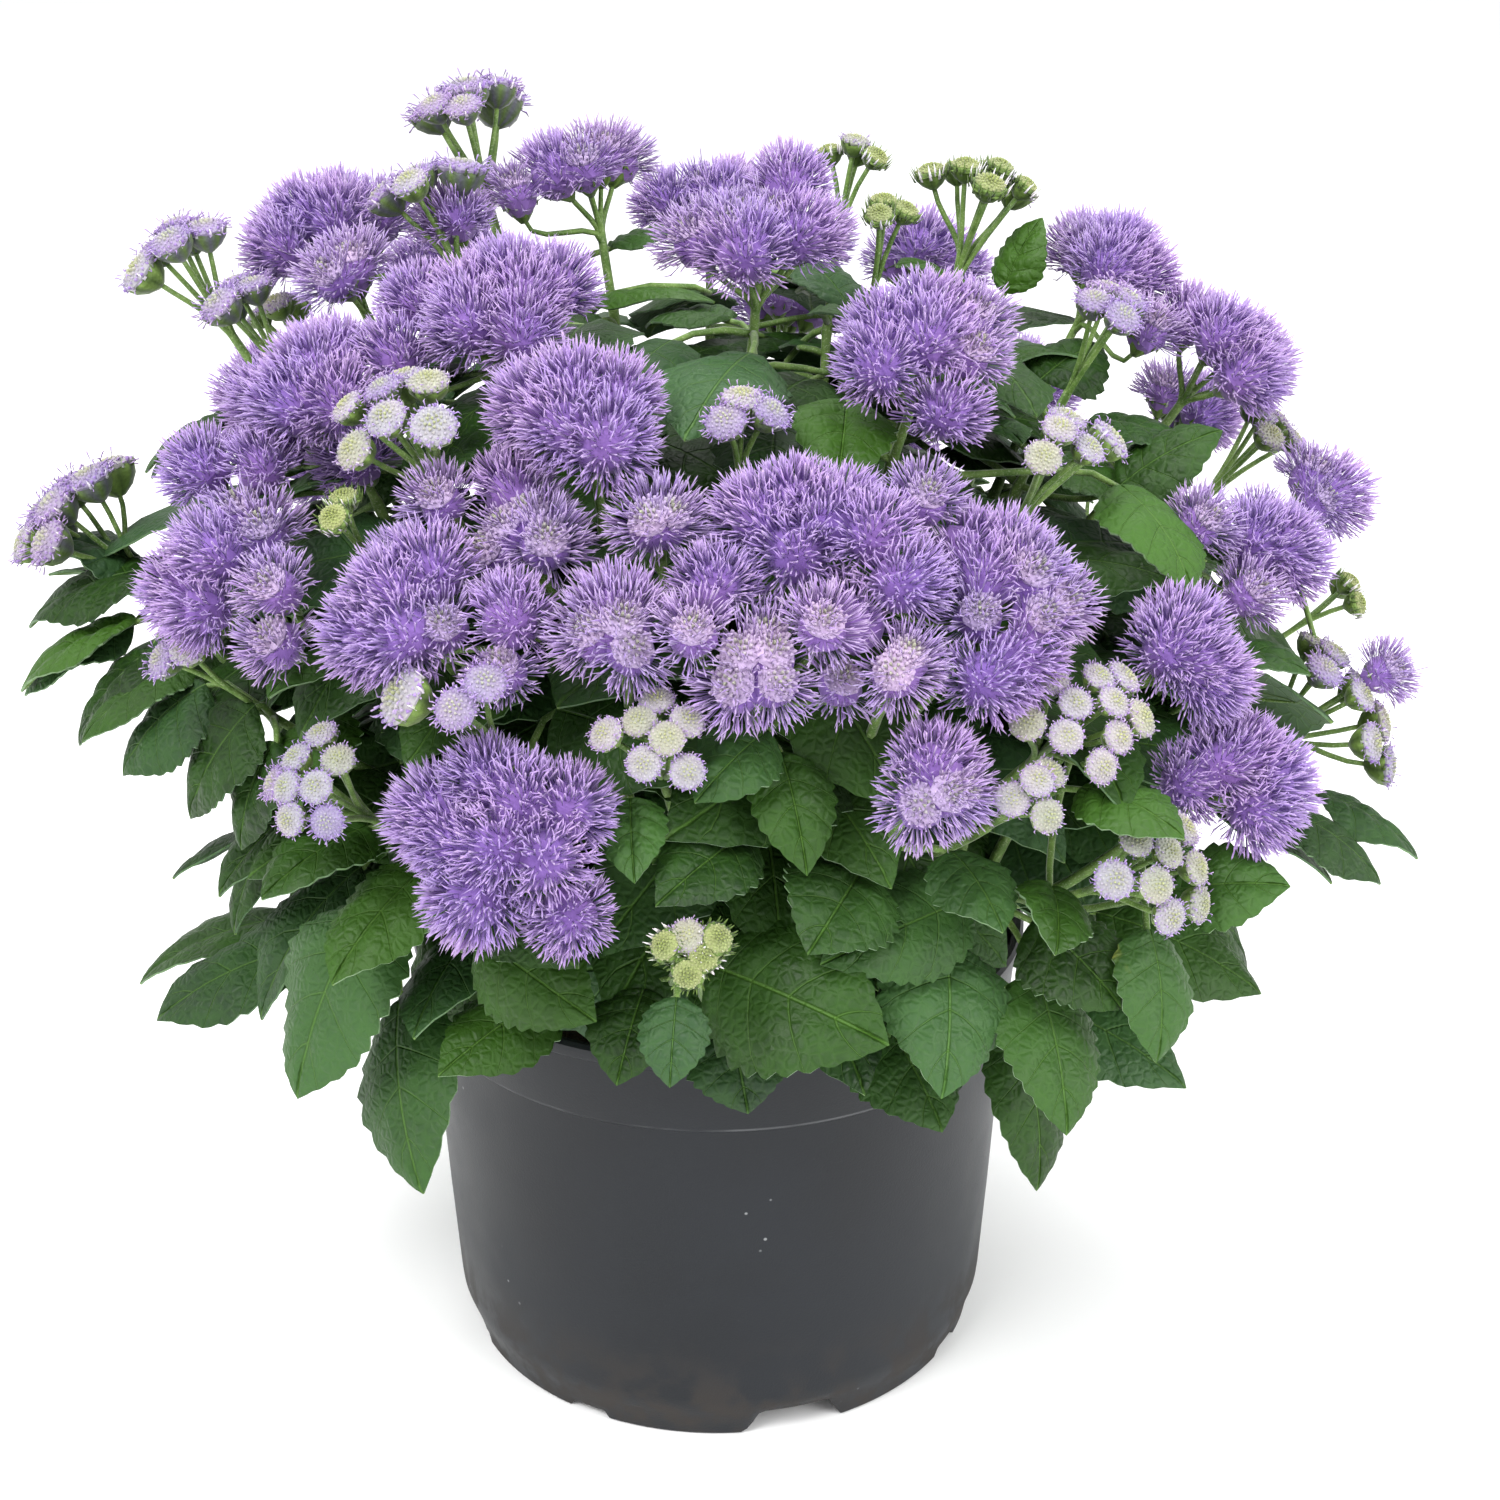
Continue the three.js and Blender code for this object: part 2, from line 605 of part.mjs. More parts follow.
// Lay out a shoot: where it leaves the soil, where it forks, and its stalks. The branch that runs
// on most nearly straight grows from the stem's end, and the rest from the sides of its fork.
function layOut(shoot, index) {
  const middle = new THREE.Vector3();
  const part = 1 / shoot.clusters.length;
  shoot.clusters.forEach((cluster) => middle.addScaledVector(neckOf(cluster), part));
  const root = new THREE.Vector3(middle.x * ROOT_SPREAD, middle.y * ROOT_SPREAD, SOIL_HEIGHT - ROOT_DEPTH);
  const fork = new THREE.Vector3(middle.x * FORK_SPREAD, middle.y * FORK_SPREAD,
    SOIL_HEIGHT + (middle.z - SOIL_HEIGHT) * FORK_RISE);
  const low = new THREE.Vector3(root.x, root.y, SOIL_HEIGHT + STRAIGHT_FOOT);
  const high = along(root, fork, STEM_BEND[0]).setZ(root.z + (fork.z - root.z) * STEM_BEND[1]);
  const stem = new THREE.CubicBezierCurve3(root, low, high, fork);
  const stalk = stalkOf({
    curve: stem, radius: STEM_RADIUS, sides: STEM_SIDES, knots: STEM_KNOTS,
    toward: bearings(middle).right, forked: true,
  });
  const rings = ringsOf(stalk, 0);
  const level = rings.length - 2;
  const faces = Array.from({ length: STEM_SIDES }, (_, side) => sideFace(rings, level, side));
  const ends = shoot.clusters.map(branchEnd);
  const onward = (end) => end.clone().sub(fork).normalize().dot(stem.getTangent(1));
  const lead = ends.reduce((best, end, k) => (onward(end) > onward(ends[best]) ? k : best), 0);
  const outward = (side, end) => (
    middleOf(faces[side]).sub(fork).dot(end.clone().sub(fork).normalize()));
  const sides = new Map();
  while (sides.size < ends.length - 1) {
    const used = [...sides.values()];
    const pairs = ends.flatMap((end, k) => faces.map((_, side) => ({ k, side, fit: outward(side, end) })))
      .filter(({ k, side }) => k !== lead && !sides.has(k) && !used.includes(side));
    const best = pairs.reduce((one, other) => (other.fit > one.fit ? other : one));
    sides.set(best.k, best.side);
  }
  const branches = shoot.clusters.map((cluster, k) => {
    if (k === lead) {
      const toward = rings[level + 1][0].clone().sub(fork);
      return branchOf(fork, stem.getTangent(1), cluster, toward, { lead: true });
    }
    const side = sides.get(k);
    const start = middleOf(faces[side]);
    const out = new THREE.Triangle(...faces[side]).getNormal(new THREE.Vector3());
    return branchOf(start, out, cluster, faces[side][0].clone().sub(start), { level, side });
  });
  const heads = shoot.clusters.map((cluster, k) => headsOf(cluster, index * 7 + k));
  return { ...shoot, stalk, branches, heads };
}

// Where a cluster's branch ends: at the foot of a bloom, or just below the neck of closed heads.
function branchEnd(cluster) {
  const { facing } = bearings(cluster.at);
  const foot = BLOOM_CORE + BLOOM_FOOT * Math.cos(radians(FOOT_ANGLE)) + SEAT;
  return cluster.kind === 'bloom' ? cluster.at.clone().addScaledVector(facing, -foot)
    : neckOf(cluster).addScaledVector(facing, -NECK_TAPER);
}

// A branch that leaves the fork outwards and sweeps round to its cluster's own way at its end.
function branchOf(start, out, cluster, toward, origin) {
  const end = branchEnd(cluster);
  const reach = start.distanceTo(end);
  const leaving = end.clone().sub(start).normalize().addScaledVector(out, OUTWARD).normalize();
  const curve = new THREE.CubicBezierCurve3(start, start.clone().addScaledVector(leaving, LEAVE * reach),
    end.clone().addScaledVector(bearings(cluster.at).facing, -SWEEP * reach), end);
  const count = Math.max(1, Math.round(reach / KNOT_SPACING));
  const knots = Array.from({ length: count }, (_, k) => (k + 0.6) / (count + 0.2));
  const first = curve.getPoint(knots[0]).sub(start).normalize();
  const collar = !origin.lead && first.dot(out) < SHARP ? COLLAR / reach : null;
  const stalk = { curve, radius: BRANCH_RADIUS, sides: BRANCH_SIDES, knots, toward, collar };
  return { ...stalkOf(stalk), origin };
}

// Triangles of a wall through rings, with what sprouts from it in place of the faces it grows from.
function wallCorners(rings, sprouts) {
  return rings.slice(1).flatMap((high, level) => {
    const low = rings[level];
    if (low.length !== high.length) {
      return band(low, high);
    }
    return low.flatMap((_, side) => {
      const next = (side + 1) % low.length;
      const face = sideFace(rings, level, side);
      const sprout = sprouts.find((one) => one.level === level && one.side === side);
      return [...(sprout ? sprout.grow(face) : face), low[next], high[next], high[side]];
    });
  });
}

// The flat end of a ring, facing back along the stalk or on past it.
function capCorners(points, backward) {
  const fan = points.slice(2).flatMap((point, k) => [points[0], points[k + 1], point]);
  return backward ? fan.reverse() : fan;
}

// Faces of the shallow dome where a cluster's pedicels part, and the points of its rim in turn.
function knuckle(cluster, neck, grow) {
  const { facing, right, rise } = bearings(cluster.at);
  const count = cluster.heads + 2;
  const radius = 1.2 + 0.16 * cluster.heads + grow;
  const points = Array.from({ length: count }, (_, k) => {
    const share = Math.sqrt((k + 0.5) / (count - 0.5));
    const turn = k * GOLDEN_ANGLE;
    return neck.clone().addScaledVector(right, radius * share * Math.cos(turn))
      .addScaledVector(rise, radius * share * Math.sin(turn))
      .addScaledVector(facing, -0.4 * radius * share * share);
  });
  const foot = neck.clone().addScaledVector(facing, -60);
  const hull = new ConvexGeometry([...points, foot]).attributes.position;
  const corner = (i) => points.find((point) => (
    point.distanceTo(new THREE.Vector3().fromBufferAttribute(hull, i)) < 1e-3));
  const faces = Array.from({ length: hull.count / 3 }, (_, f) => [0, 1, 2].map((k) => corner(3 * f + k)));
  const sides = faces.filter((face) => face.includes(undefined));
  const nextOnRim = new Map(sides.map((face) => {
    const gap = face.indexOf(undefined);
    return [face[(gap + 2) % 3], face[(gap + 1) % 3]];
  }));
  const rim = [...nextOnRim.keys()].slice(0, 1);
  while (rim.length < nextOnRim.size) {
    rim.push(nextOnRim.get(rim[rim.length - 1]));
  }
  return { faces: faces.filter((face) => !face.includes(undefined)), rim };
}

// A pedicel grown out of one face of the knuckle, with its green cup and low crown of florets.
function pedicelCorners(face, head, grow) {
  const r = head.size + grow;
  const centre = face[0].clone().add(face[1]).add(face[2]).divideScalar(3);
  const toward = face[0].clone().sub(centre);
  const cup = head.at.clone().addScaledVector(head.axis, -0.8 * r);
  const rings = [
    face, ring(cup, head.axis, toward, PEDICEL_RADIUS + grow, 3),
    ring(head.at, head.axis, toward, r, 5), [head.at.clone().addScaledVector(head.axis, 0.72 * r)],
  ];
  return [1, 2, 3].flatMap((k) => band(rings[k - 1], rings[k]));
}

// A cluster of closed heads at the end of its branch: the branch's last ring opens into the
// knuckle, and each pedicel grows out of the free face that lies nearest its way.
function corymbCorners(cluster, heads, last, grow) {
  const neck = neckOf(cluster);
  const { faces, rim } = knuckle(cluster, neck, grow);
  const start = last[0].clone().sub(along(last[1], last[2], 0.5)).normalize();
  const alike = (point) => point.clone().sub(neck).normalize().dot(start);
  const first = rim.reduce((best, point, k) => (alike(point) > alike(rim[best]) ? k : best), 0);
  const built = band(last, [...rim.slice(first), ...rim.slice(0, first)]);
  const free = new Set(faces);
  const shrink = (2 + grow) / (Math.max(cluster.across, cluster.along) + 1);
  heads.forEach((head) => {
    const aim = neck.clone().addScaledVector(head.at.clone().sub(cluster.at), shrink);
    const nearest = [...free].reduce((best, face) => (
      middleOf(face).distanceTo(aim) < middleOf(best).distanceTo(aim) ? face : best));
    free.delete(nearest);
    built.push(...pedicelCorners(nearest, head, grow));
  });
  free.forEach((face) => built.push(...face));
  return built;
}

// A shoot in one body, fattened by grow: its stem, and growing from it the leaves and the branches,
// which carry their own leaves and end in closed heads or inside a bloom.
function shootBody(shoot, grow, leaves) {
  const leavesOn = (stalk) => leaves.filter((leaf) => leaf.slot.stalk === stalk)
    .map((leaf) => ({ ...leaf.slot, grow: (face) => leafCorners(leaf, face, grow) }));
  const branchCorners = (k, first) => {
    const branch = shoot.branches[k];
    const rings = [first, ...ringsOf(branch, grow).slice(1)];
    const last = rings[rings.length - 1];
    const end = shoot.clusters[k].kind === 'buds'
      ? corymbCorners(shoot.clusters[k], shoot.heads[k], last, grow) : capCorners(last, false);
    return [...wallCorners(rings, leavesOn(branch)), ...end];
  };
  const rings = ringsOf(shoot.stalk, grow);
  const lead = shoot.branches.findIndex((branch) => branch.origin.lead);
  const side = shoot.branches.map((branch, k) => (
    { ...branch.origin, grow: (face) => branchCorners(k, face) })).filter((sprout) => !sprout.lead);
  return solid(new THREE.BufferGeometry().setFromPoints([
    ...capCorners(rings[0], true),
    ...wallCorners(rings, [...side, ...leavesOn(shoot.stalk)]),
    ...branchCorners(lead, rings[rings.length - 1]),
  ]));
}

// ---------------------------------------------------------------- blooms

// Directions spread evenly over a ball, denser on the side that shows.
function lookouts(count, facing) {
  const turn = new THREE.Quaternion().setFromUnitVectors(UP, facing);
  const ways = Array.from({ length: count - 3 }, (_, k) => {
    const height = 1 - 1.55 * (k + 0.5) / (count - 3);
    const reach = Math.sqrt(1 - height * height);
    const angle = k * GOLDEN_ANGLE;
    return new THREE.Vector3(reach * Math.cos(angle), reach * Math.sin(angle), height);
  });
  const foot = ring(new THREE.Vector3(0, 0, -Math.cos(radians(FOOT_ANGLE))), UP,
    new THREE.Vector3(1, 0, 0), Math.sin(radians(FOOT_ANGLE)), 3);
  return [...ways, ...foot].map((way) => way.applyQuaternion(turn));
}

// How far the pompons reach from a bloom's middle in one direction.
function reachOf(heads, middle, way, share) {
  return heads.reduce((far, head) => {
    const offset = head.at.clone().sub(middle);
    const ahead = offset.dot(way);
    const inside = (head.size * share) ** 2 - offset.lengthSq() + ahead * ahead;
    return inside > 0 ? Math.max(far, ahead + Math.sqrt(inside)) : far;
  }, BLOOM_FOOT);
}

// A bloom: pompons grown together, with florets standing up from them in three-sided spikes.
function bloomBody(cluster, heads, grow) {
  const { facing } = bearings(cluster.at);
  const middle = cluster.at.clone().addScaledVector(facing, -BLOOM_CORE);
  const count = Math.round(12 + 3.7 * cluster.heads);
  const hull = new ConvexGeometry(lookouts(count, facing)).attributes.position;
  const lowest = -Math.cos(radians(FOOT_ANGLE)) + 1e-3;
  const place = (way, part) => middle.clone().addScaledVector(way,
    (way.dot(facing) < lowest ? BLOOM_FOOT : reachOf(heads, middle, way, part)) + grow);
  const corners = [];
  for (let i = 0; i < hull.count; i += 3) {
    const ways = [0, 1, 2].map((k) => new THREE.Vector3().fromBufferAttribute(hull, i + k));
    const [a, b, c] = ways.map((way) => place(way.normalize(), CORE_SHARE));
    const centre = ways[0].clone().add(ways[1]).add(ways[2]).normalize();
    if (centre.dot(facing) > SPIKES_FROM) {
      const tip = place(centre, TIP_SHARE);
      corners.push(a, b, tip, b, c, tip, c, a, tip);
    } else {
      corners.push(a, b, c);
    }
  }
  return solid(new THREE.BufferGeometry().setFromPoints(corners));
}

// ---------------------------------------------------------------- leaves

// Half width of a blade along its length, as a share of its full width.
function halfWidth(share) {
  return 0.5 * Math.sin(Math.PI * share ** 0.56);
}

function leafFrame({ base, tip }) {
  const ahead = tip.clone().sub(base);
  const length = ahead.length();
  ahead.normalize();
  const outward = base.clone().sub(HEART).normalize().add(UP);
  const side = new THREE.Vector3().crossVectors(ahead, outward).normalize();
  const over = new THREE.Vector3().crossVectors(side, ahead);
  return { ahead, side, over, length };
}

// Outline of one half of a blade, as [share of length, share of half width], with its teeth.
function toothedEdge(teeth) {
  const step = ((teeth === 2 ? 0.62 : 0.81) - FIRST_TOOTH) / (teeth - 1);
  const edge = [];
  for (let k = 0; k < teeth; k += 1) {
    edge.push([FIRST_TOOTH + k * step, 1.04]);
    if (k < teeth - 1) {
      edge.push([FIRST_TOOTH + (k + 0.56) * step, 0.88]);
    }
  }
  return edge;
}

// Triangles between two rows of points that end in the same tip.
function stitch(edge, rib, flip) {
  const triangles = [];
  let i = 0;
  let j = 0;
  while (i < edge.length - 1 || j < rib.length - 1) {
    const stepEdge = j === rib.length - 1
      || (i < edge.length - 1 && edge[i + 1].share <= rib[j + 1].share);
    const next = stepEdge ? edge[i + 1] : rib[j + 1];
    if (next.at !== edge[i].at && next.at !== rib[j].at) {
      const corners = [edge[i].at, rib[j].at, next.at];
      triangles.push(...(flip ? corners.reverse() : corners));
    }
    i += stepEdge ? 1 : 0;
    j += stepEdge ? 0 : 1;
  }
  return triangles;
}

// Triangles of a leaf that grows out of one face of a knot: a three-sided petiole that runs on as
// the ridge of a toothed blade, arched along its length.
function leafCorners(spec, face, grow) {
  const { ahead, side, over, length } = leafFrame(spec);
  const teeth = spec.teeth ?? (spec.width > 17 ? 4 : 3);
  const ribShares = [[0.54], [0.3, 0.68], [0.22, 0.45, 0.72]][teeth - 2];
  const slim = PETIOLE_RADIUS + grow;
  const place = (share, across, lift) => {
    const rise = length * (4 * LEAF_ARCH * share * (1 - share) - LEAF_DROOP * (share * share - share));
    return spec.base.clone().addScaledVector(ahead, length * share + (share === 1 ? grow : 0))
      .addScaledVector(side, across * (spec.width * halfWidth(share) + grow))
      .addScaledVector(over, lift + rise);
  };
  const low = -2 * grow;
  const tip = place(1, 0, 0);
  const { at, way, stalk } = spec.slot;
  const straight = spec.base.clone().sub(at).normalize().dot(way) > STRAIGHT_OUT;
  const elbow = at.clone().addScaledVector(way, stalk.radius + ELBOW_OUT);
  const onward = spec.base.clone().sub(elbow).normalize().add(way).normalize();
  const bent = ring(elbow, onward, face[0].clone().sub(middleOf(face)), slim, 3);
  const mitre = spec.base.clone().sub(straight ? at : elbow).normalize()
    .multiplyScalar(MITRE).add(ahead).normalize();
  const neck = ring(place(0, 0, 0), mitre, over, THROAT * slim, 3);
  const edges = [1, -1].map((hand) => [
    { share: 0, at: neck[hand === 1 ? 1 : 2] },
    ...toothedEdge(teeth).map(([share, across]) => ({ share, at: place(share, hand * across, low) })),
    { share: 1, at: tip },
  ]);
  const ridge = [
    { share: 0, at: neck[0] },
    ...ribShares.map((share) => ({ share, at: place(share, 0, RIDGE + 1.5 * grow) })),
    { share: 1, at: tip },
  ];
  const throat = untwisted(straight ? face : bent, neck);
  return [
    ...(straight ? band(face, throat) : [...band(face, bent), ...band(bent, throat)]),
    ...stitch(edges[0], ridge, true), ...stitch(edges[1], ridge, false),
    ...stitch(edges[0], edges[1], false),
  ];
}

// The turn of a ring's points that joins on best to another ring, up to a quarter turn further on.
function untwisted(from, to) {
  const offsets = (points) => points.map((point) => point.clone().sub(middleOf(points)).normalize());
  const start = offsets(from);
  const aims = start.map((way, k) => way.clone().multiplyScalar(2).add(start[(k + 1) % 3]));
  const turns = [0, 1, 2].map((k) => [...to.slice(k), ...to.slice(0, k)]);
  const match = (points) => offsets(points).reduce((sum, way, k) => sum + way.dot(aims[k]), 0);
  return turns.reduce((best, points) => (match(points) > match(best) ? points : best));
}

// Every side of every knot of a shoot, where a leaf may grow.
function slotsOf(shoot) {
  return [shoot.stalk, ...shoot.branches].flatMap((stalk) => stalk.knots.flatMap((share, k) => {
    const at = stalk.curve.getPoint(share);
    const axis = stalk.curve.getTangent(share);
    const level = 2 * k + stalk.firstKnot;
    const points = ring(at, axis, stalk.towards[level], 1, stalk.sides);
    return points.map((point, side) => {
      const next = points[(side + 1) % stalk.sides];
      const way = along(point, next, 0.5).sub(at).normalize();
      return { stalk, level, side, at, way, taken: false };
    });
  }));
}

// The free side of a knot that suits a leaf best: near, facing the leaf and behind its blade.
function bestSlot(slots, { base, tip }, leastOutward) {
  const none = { distance: Infinity, cost: Infinity };
  const ahead = tip.clone().sub(base).normalize();
  return slots.reduce((best, slot) => {
    const toward = base.clone().sub(slot.at);
    const distance = toward.length();
    const outward = toward.dot(slot.way) / distance;
    const onward = toward.dot(ahead) / distance;
    const cost = distance * (1.5 - outward) * (1.5 - onward);
    const fits = !slot.taken && outward > leastOutward && onward > LEAST_ONWARD;
    return fits && cost < best.cost ? { slot, distance, cost } : best;
  }, none);
}

// ---------------------------------------------------------------- foliage that fills the crown

// The leaf tried in the k-th direction; each further try turns it and moves it a little.
function fillSpec(k, attempt) {
  const height = FILL_TOP + (FILL_BOTTOM - FILL_TOP) * (k + 0.5) / FILL_WAYS;
  const turn = k * GOLDEN_ANGLE + 0.12 * attempt;
  const reach = Math.sqrt(1 - height * height);
  const level = new THREE.Vector3(Math.cos(turn), Math.sin(turn), 0);
  const out = level.clone().multiplyScalar(reach).addScaledVector(UP, height);
  const depth = FILL_DEPTH - 0.05 * attempt + 0.08 * (chance(k, attempt) - 0.5);
  const middle = out.multiply(CROWN_REACH).multiplyScalar(depth).add(CROWN_MIDDLE);
  const droop = 0.3 + 0.5 * (1 - height) * chance(k, attempt + 10);
  const ahead = level.applyAxisAngle(UP, FILL_YAW * (chance(k, attempt + 20) - 0.5))
    .addScaledVector(UP, -droop).normalize();
  const length = FILL_LENGTH + 8 * chance(k, 30) + (height < 0 ? 4 : 0);
  return {
    base: middle.clone().addScaledVector(ahead, -0.45 * length),
    tip: middle.clone().addScaledVector(ahead, 0.55 * length),
    width: length * (FILL_WIDTH + 0.08 * (chance(k, 31) - 0.5)),
    teeth: 2,
  };
}

// A leaf's tip once its blade has turned half way to the direction of its petiole.
function turnedOnward({ base, tip }, slot) {
  const ahead = tip.clone().sub(base);
  const length = ahead.length();
  const way = ahead.normalize().add(base.clone().sub(slot.at).normalize()).normalize();
  return base.clone().addScaledVector(way, length);
}

// Round spots that stand for a blade when leaves are kept clear of each other.
function bladeSpots(spec) {
  return [0.05, 0.3, 0.55, 0.8, 1].map((share) => {
    const reach = BLADE_SPOT * spec.width * halfWidth(share) + SPOT_CLEAR;
    return { at: along(spec.base, spec.tip, share), reach };
  });
}

function petioleSpots(slot, spec) {
  return [0.12, 0.23, 0.34, 0.45, 0.56, 0.67, 0.78, 0.9].map((share) => (
    { at: along(slot.at, spec.base, share), reach: PETIOLE_RADIUS + 1.2 * SPOT_CLEAR }));
}

// Round spots along a shoot's stem and branches.
function stalkSpots(shoot) {
  return [shoot.stalk, ...shoot.branches].flatMap(({ curve }) => (
    Array.from({ length: 25 }, (_, k) => ({ at: curve.getPoint(k / 24), reach: 2.2, curve }))));
}

function isClear(spot, others) {
  return others.every((other) => spot.at.distanceTo(other.at) > spot.reach + other.reach);
}

// Whether a place keeps off the pot's rim and the soil.
function clearsPot({ at, reach }) {
  const out = Math.hypot(at.x, at.y);
  return at.z > POT_HEIGHT + reach || out > RIM_RADIUS + 2 + reach;
}

// Root the leaves of the tables, then give every direction a leaf from the nearest free knot,
// where blade and petiole come clear of everything else.
function addLeaves(shoots) {
  const slots = shoots.map(slotsOf);
  shoots.forEach((shoot, s) => shoot.leaves.forEach((spec) => {
    spec.slot = bestSlot(slots[s], spec, 0).slot;
    spec.slot.taken = true;
  }));
  const heads = shoots.flatMap((shoot) => shoot.heads.flat())
    .map((head) => ({ at: head.at, reach: 1.1 * head.size + 1 }));
  const leaves = shoots.flatMap((shoot) => shoot.leaves.flatMap((spec) => (
    [...bladeSpots(spec), ...petioleSpots(spec.slot, spec)])));
  const stalks = shoots.flatMap(stalkSpots);
  for (let k = 0; k < FILL_WAYS; k += 1) {
    for (let attempt = 0; attempt < FILL_TRIES; attempt += 1) {
      const spec = fillSpec(k, attempt);
      const { slot, distance } = bestSlot(slots.flat(), spec, LEAST_OUTWARD);
      if (distance < SHORTEST_PETIOLE || distance > LONGEST_PETIOLE) {
        continue;
      }
      spec.tip = turnedOnward(spec, slot);
      const spots = [...petioleSpots(slot, spec), ...bladeSpots(spec)];
      const others = [...heads, ...leaves, ...stalks.filter((spot) => (
        spot.curve !== slot.stalk.curve || spot.at.distanceTo(slot.at) > KNOT_CLEARANCE))];
      if (spots.every((spot) => clearsPot(spot) && isClear(spot, others))) {
        slot.taken = true;
        shoots[slots.findIndex((own) => own.includes(slot))].leaves.push({ ...spec, slot });
        leaves.push(...spots);
        break;
      }
    }
  }
}

// ---------------------------------------------------------------- assembly

const shoots = SHOOTS.map(layOut);
addLeaves(shoots);
const plant = new THREE.Group();
plant.add(toMesh('pot', potBody(), POT_PLASTIC));
plant.add(toMesh('soil', soilBody(shoots), PEAT));

const fatSkeletons = shoots.map((shoot) => shootBody(shoot, SEAT, []));
const fatBlooms = [];
shoots.forEach((shoot, s) => {
  shoot.clusters.forEach((cluster, k) => {
    if (cluster.kind !== 'bloom') {
      return;
    }
    const others = fatSkeletons.filter((_, i) => i !== s);
    const body = cutBy(bloomBody(cluster, shoot.heads[k], 0), [...others, ...fatBlooms]);
    fatBlooms.push(bloomBody(cluster, shoot.heads[k], SEAT));
    plant.add(toMesh(`bloom_${cluster.name}`, mainBody(body), FLOSS));
  });
});
shoots.forEach((shoot) => {
  plant.add(toMesh(`shoot_${shoot.name}`, shootBody(shoot, 0, shoot.leaves), FOLIAGE));
});

export default plant;
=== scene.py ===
"""Flossflower (ageratum) in its nursery pot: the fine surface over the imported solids.

Sizes and places are in millimetres until a piece is finished, and the front looks along -Y.
Flower clusters, bud clusters and large leaves have their own places in the tables below.
Stems, heads and small leaves follow from them by the same rules as the solids.
Threads, joining pompons, broad leaves and the leaves inside the crown are the surface's own.
"""

import math
import random

import bmesh
import bpy
import numpy as np
from mathutils import Matrix, Quaternion, Vector


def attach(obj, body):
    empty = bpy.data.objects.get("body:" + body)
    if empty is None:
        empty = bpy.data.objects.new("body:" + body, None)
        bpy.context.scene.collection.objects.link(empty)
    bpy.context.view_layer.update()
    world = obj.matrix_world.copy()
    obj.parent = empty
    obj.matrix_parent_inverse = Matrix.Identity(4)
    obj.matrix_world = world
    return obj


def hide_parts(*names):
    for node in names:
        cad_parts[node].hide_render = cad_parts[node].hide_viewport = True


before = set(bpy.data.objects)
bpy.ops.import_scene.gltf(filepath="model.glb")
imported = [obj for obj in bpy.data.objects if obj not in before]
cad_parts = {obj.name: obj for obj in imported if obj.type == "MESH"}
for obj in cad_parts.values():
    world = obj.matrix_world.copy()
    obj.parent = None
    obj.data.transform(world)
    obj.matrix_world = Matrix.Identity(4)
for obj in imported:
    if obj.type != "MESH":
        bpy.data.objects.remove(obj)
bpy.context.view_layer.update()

MM = 0.001

# ---------------------------------------------------------------- driving sizes: pot and soil

RIM_RADIUS = 60
POT_HEIGHT = 88
STEP_HEIGHT = 72  # fine ledge below the upper band
STEP_RADIUS = 58.4
SHOULDER_RADIUS = 54.6  # where the side turns in to the foot
SHOULDER_HEIGHT = 9
FOOT_RADIUS = 52.4
WALL = 1.4
LEDGE = 0.5
LIP = 0.6
LIP_HEIGHT = 3
FLOOR_HEIGHT = 6.4
POT_STEPS = 288
POT_CREASE = 32  # edges that turn more than this many degrees stay crisp
ARCH_TURN = 16.5  # degrees from the front, towards +X
ARCH_FOOT_WIDTH = 20
ARCH_TOP_WIDTH = 13
ARCH_HEIGHT = 5.6
NOTCH_WIDTH = 9
NOTCH_HEIGHT = 1.8
DRAIN_HOLES = 6
DRAIN_RADIUS = 4.5
DRAIN_RING = 34
DRAIN_SIDES = 32
DRILL_DEPTH = 8
SOIL_HEIGHT = 78
SOIL_RINGS = 14
SOIL_STEPS = 72
SOIL_SWELL = 0.9  # height of the waves in its top
CRUMBS = 420
CRUMB_SIZES = (0.5, 1.9)

# ---------------------------------------------------------------- driving sizes: plant

# Stems and branches.
SEAT = 0.3
ROOT_DEPTH = 12
ROOT_SPREAD = 0.36  # how far out a shoot is rooted, as a share of its clusters' middle
FORK_SPREAD = 0.72
FORK_RISE = 0.55
STEM_BEND = (0.4, 0.75)
STRAIGHT_FOOT = 14
STEM_SIDES = 4
STEM_KNOTS = (0.42, 0.7)
BRANCH_SIDES = 3
KNOT_SPACING = 24
FIRST_KNOT = 0.6  # a branch's first knot, and the length it has beyond its knots, in spacings
SPARE_LENGTH = 0.2
OUTWARD = 1.4  # how strongly a branch leaves its fork outwards
LEAVE = 0.3  # shares of a branch that its two ends stay straight for
SWEEP = 0.45
COLLAR = 2.2  # a branch that leaves in a sharp bend has a ring this far up
SHARP = 0.6
KNOT_HALF = 1.3
STEM_RADIUS = 1.5
PETIOLE_RADIUS = 0.75
UP = np.array((0.0, 0.0, 1.0))
HEART = np.array((0.0, 0.0, 108.0))  # the point that the crown grows out from
UPWARD_PULL = 0.35
GOLDEN_ANGLE = math.pi * (3 - math.sqrt(5))

# Heads in their clusters, and the foot that a bloom stands on.
OPEN_HEAD = 7.9  # radius of a fully open pompon
BUD_HEAD = 4.0
HEAD_SIZES = (0.92, 0.16)  # least size of a head and how much it varies, as shares
HEAD_STAGGER = 1.5
HEAD_GAP = 0.1
BUD_ROOM = 1.6
HEAD_DOME = 0.4
HEAD_LEAN = 0.55
BLOOM_STALK = 15
BUD_STALK = 14
NECK_TAPER = 3.5
BLOOM_CORE = 5
BLOOM_FOOT = 4.6
FOOT_ANGLE = 40

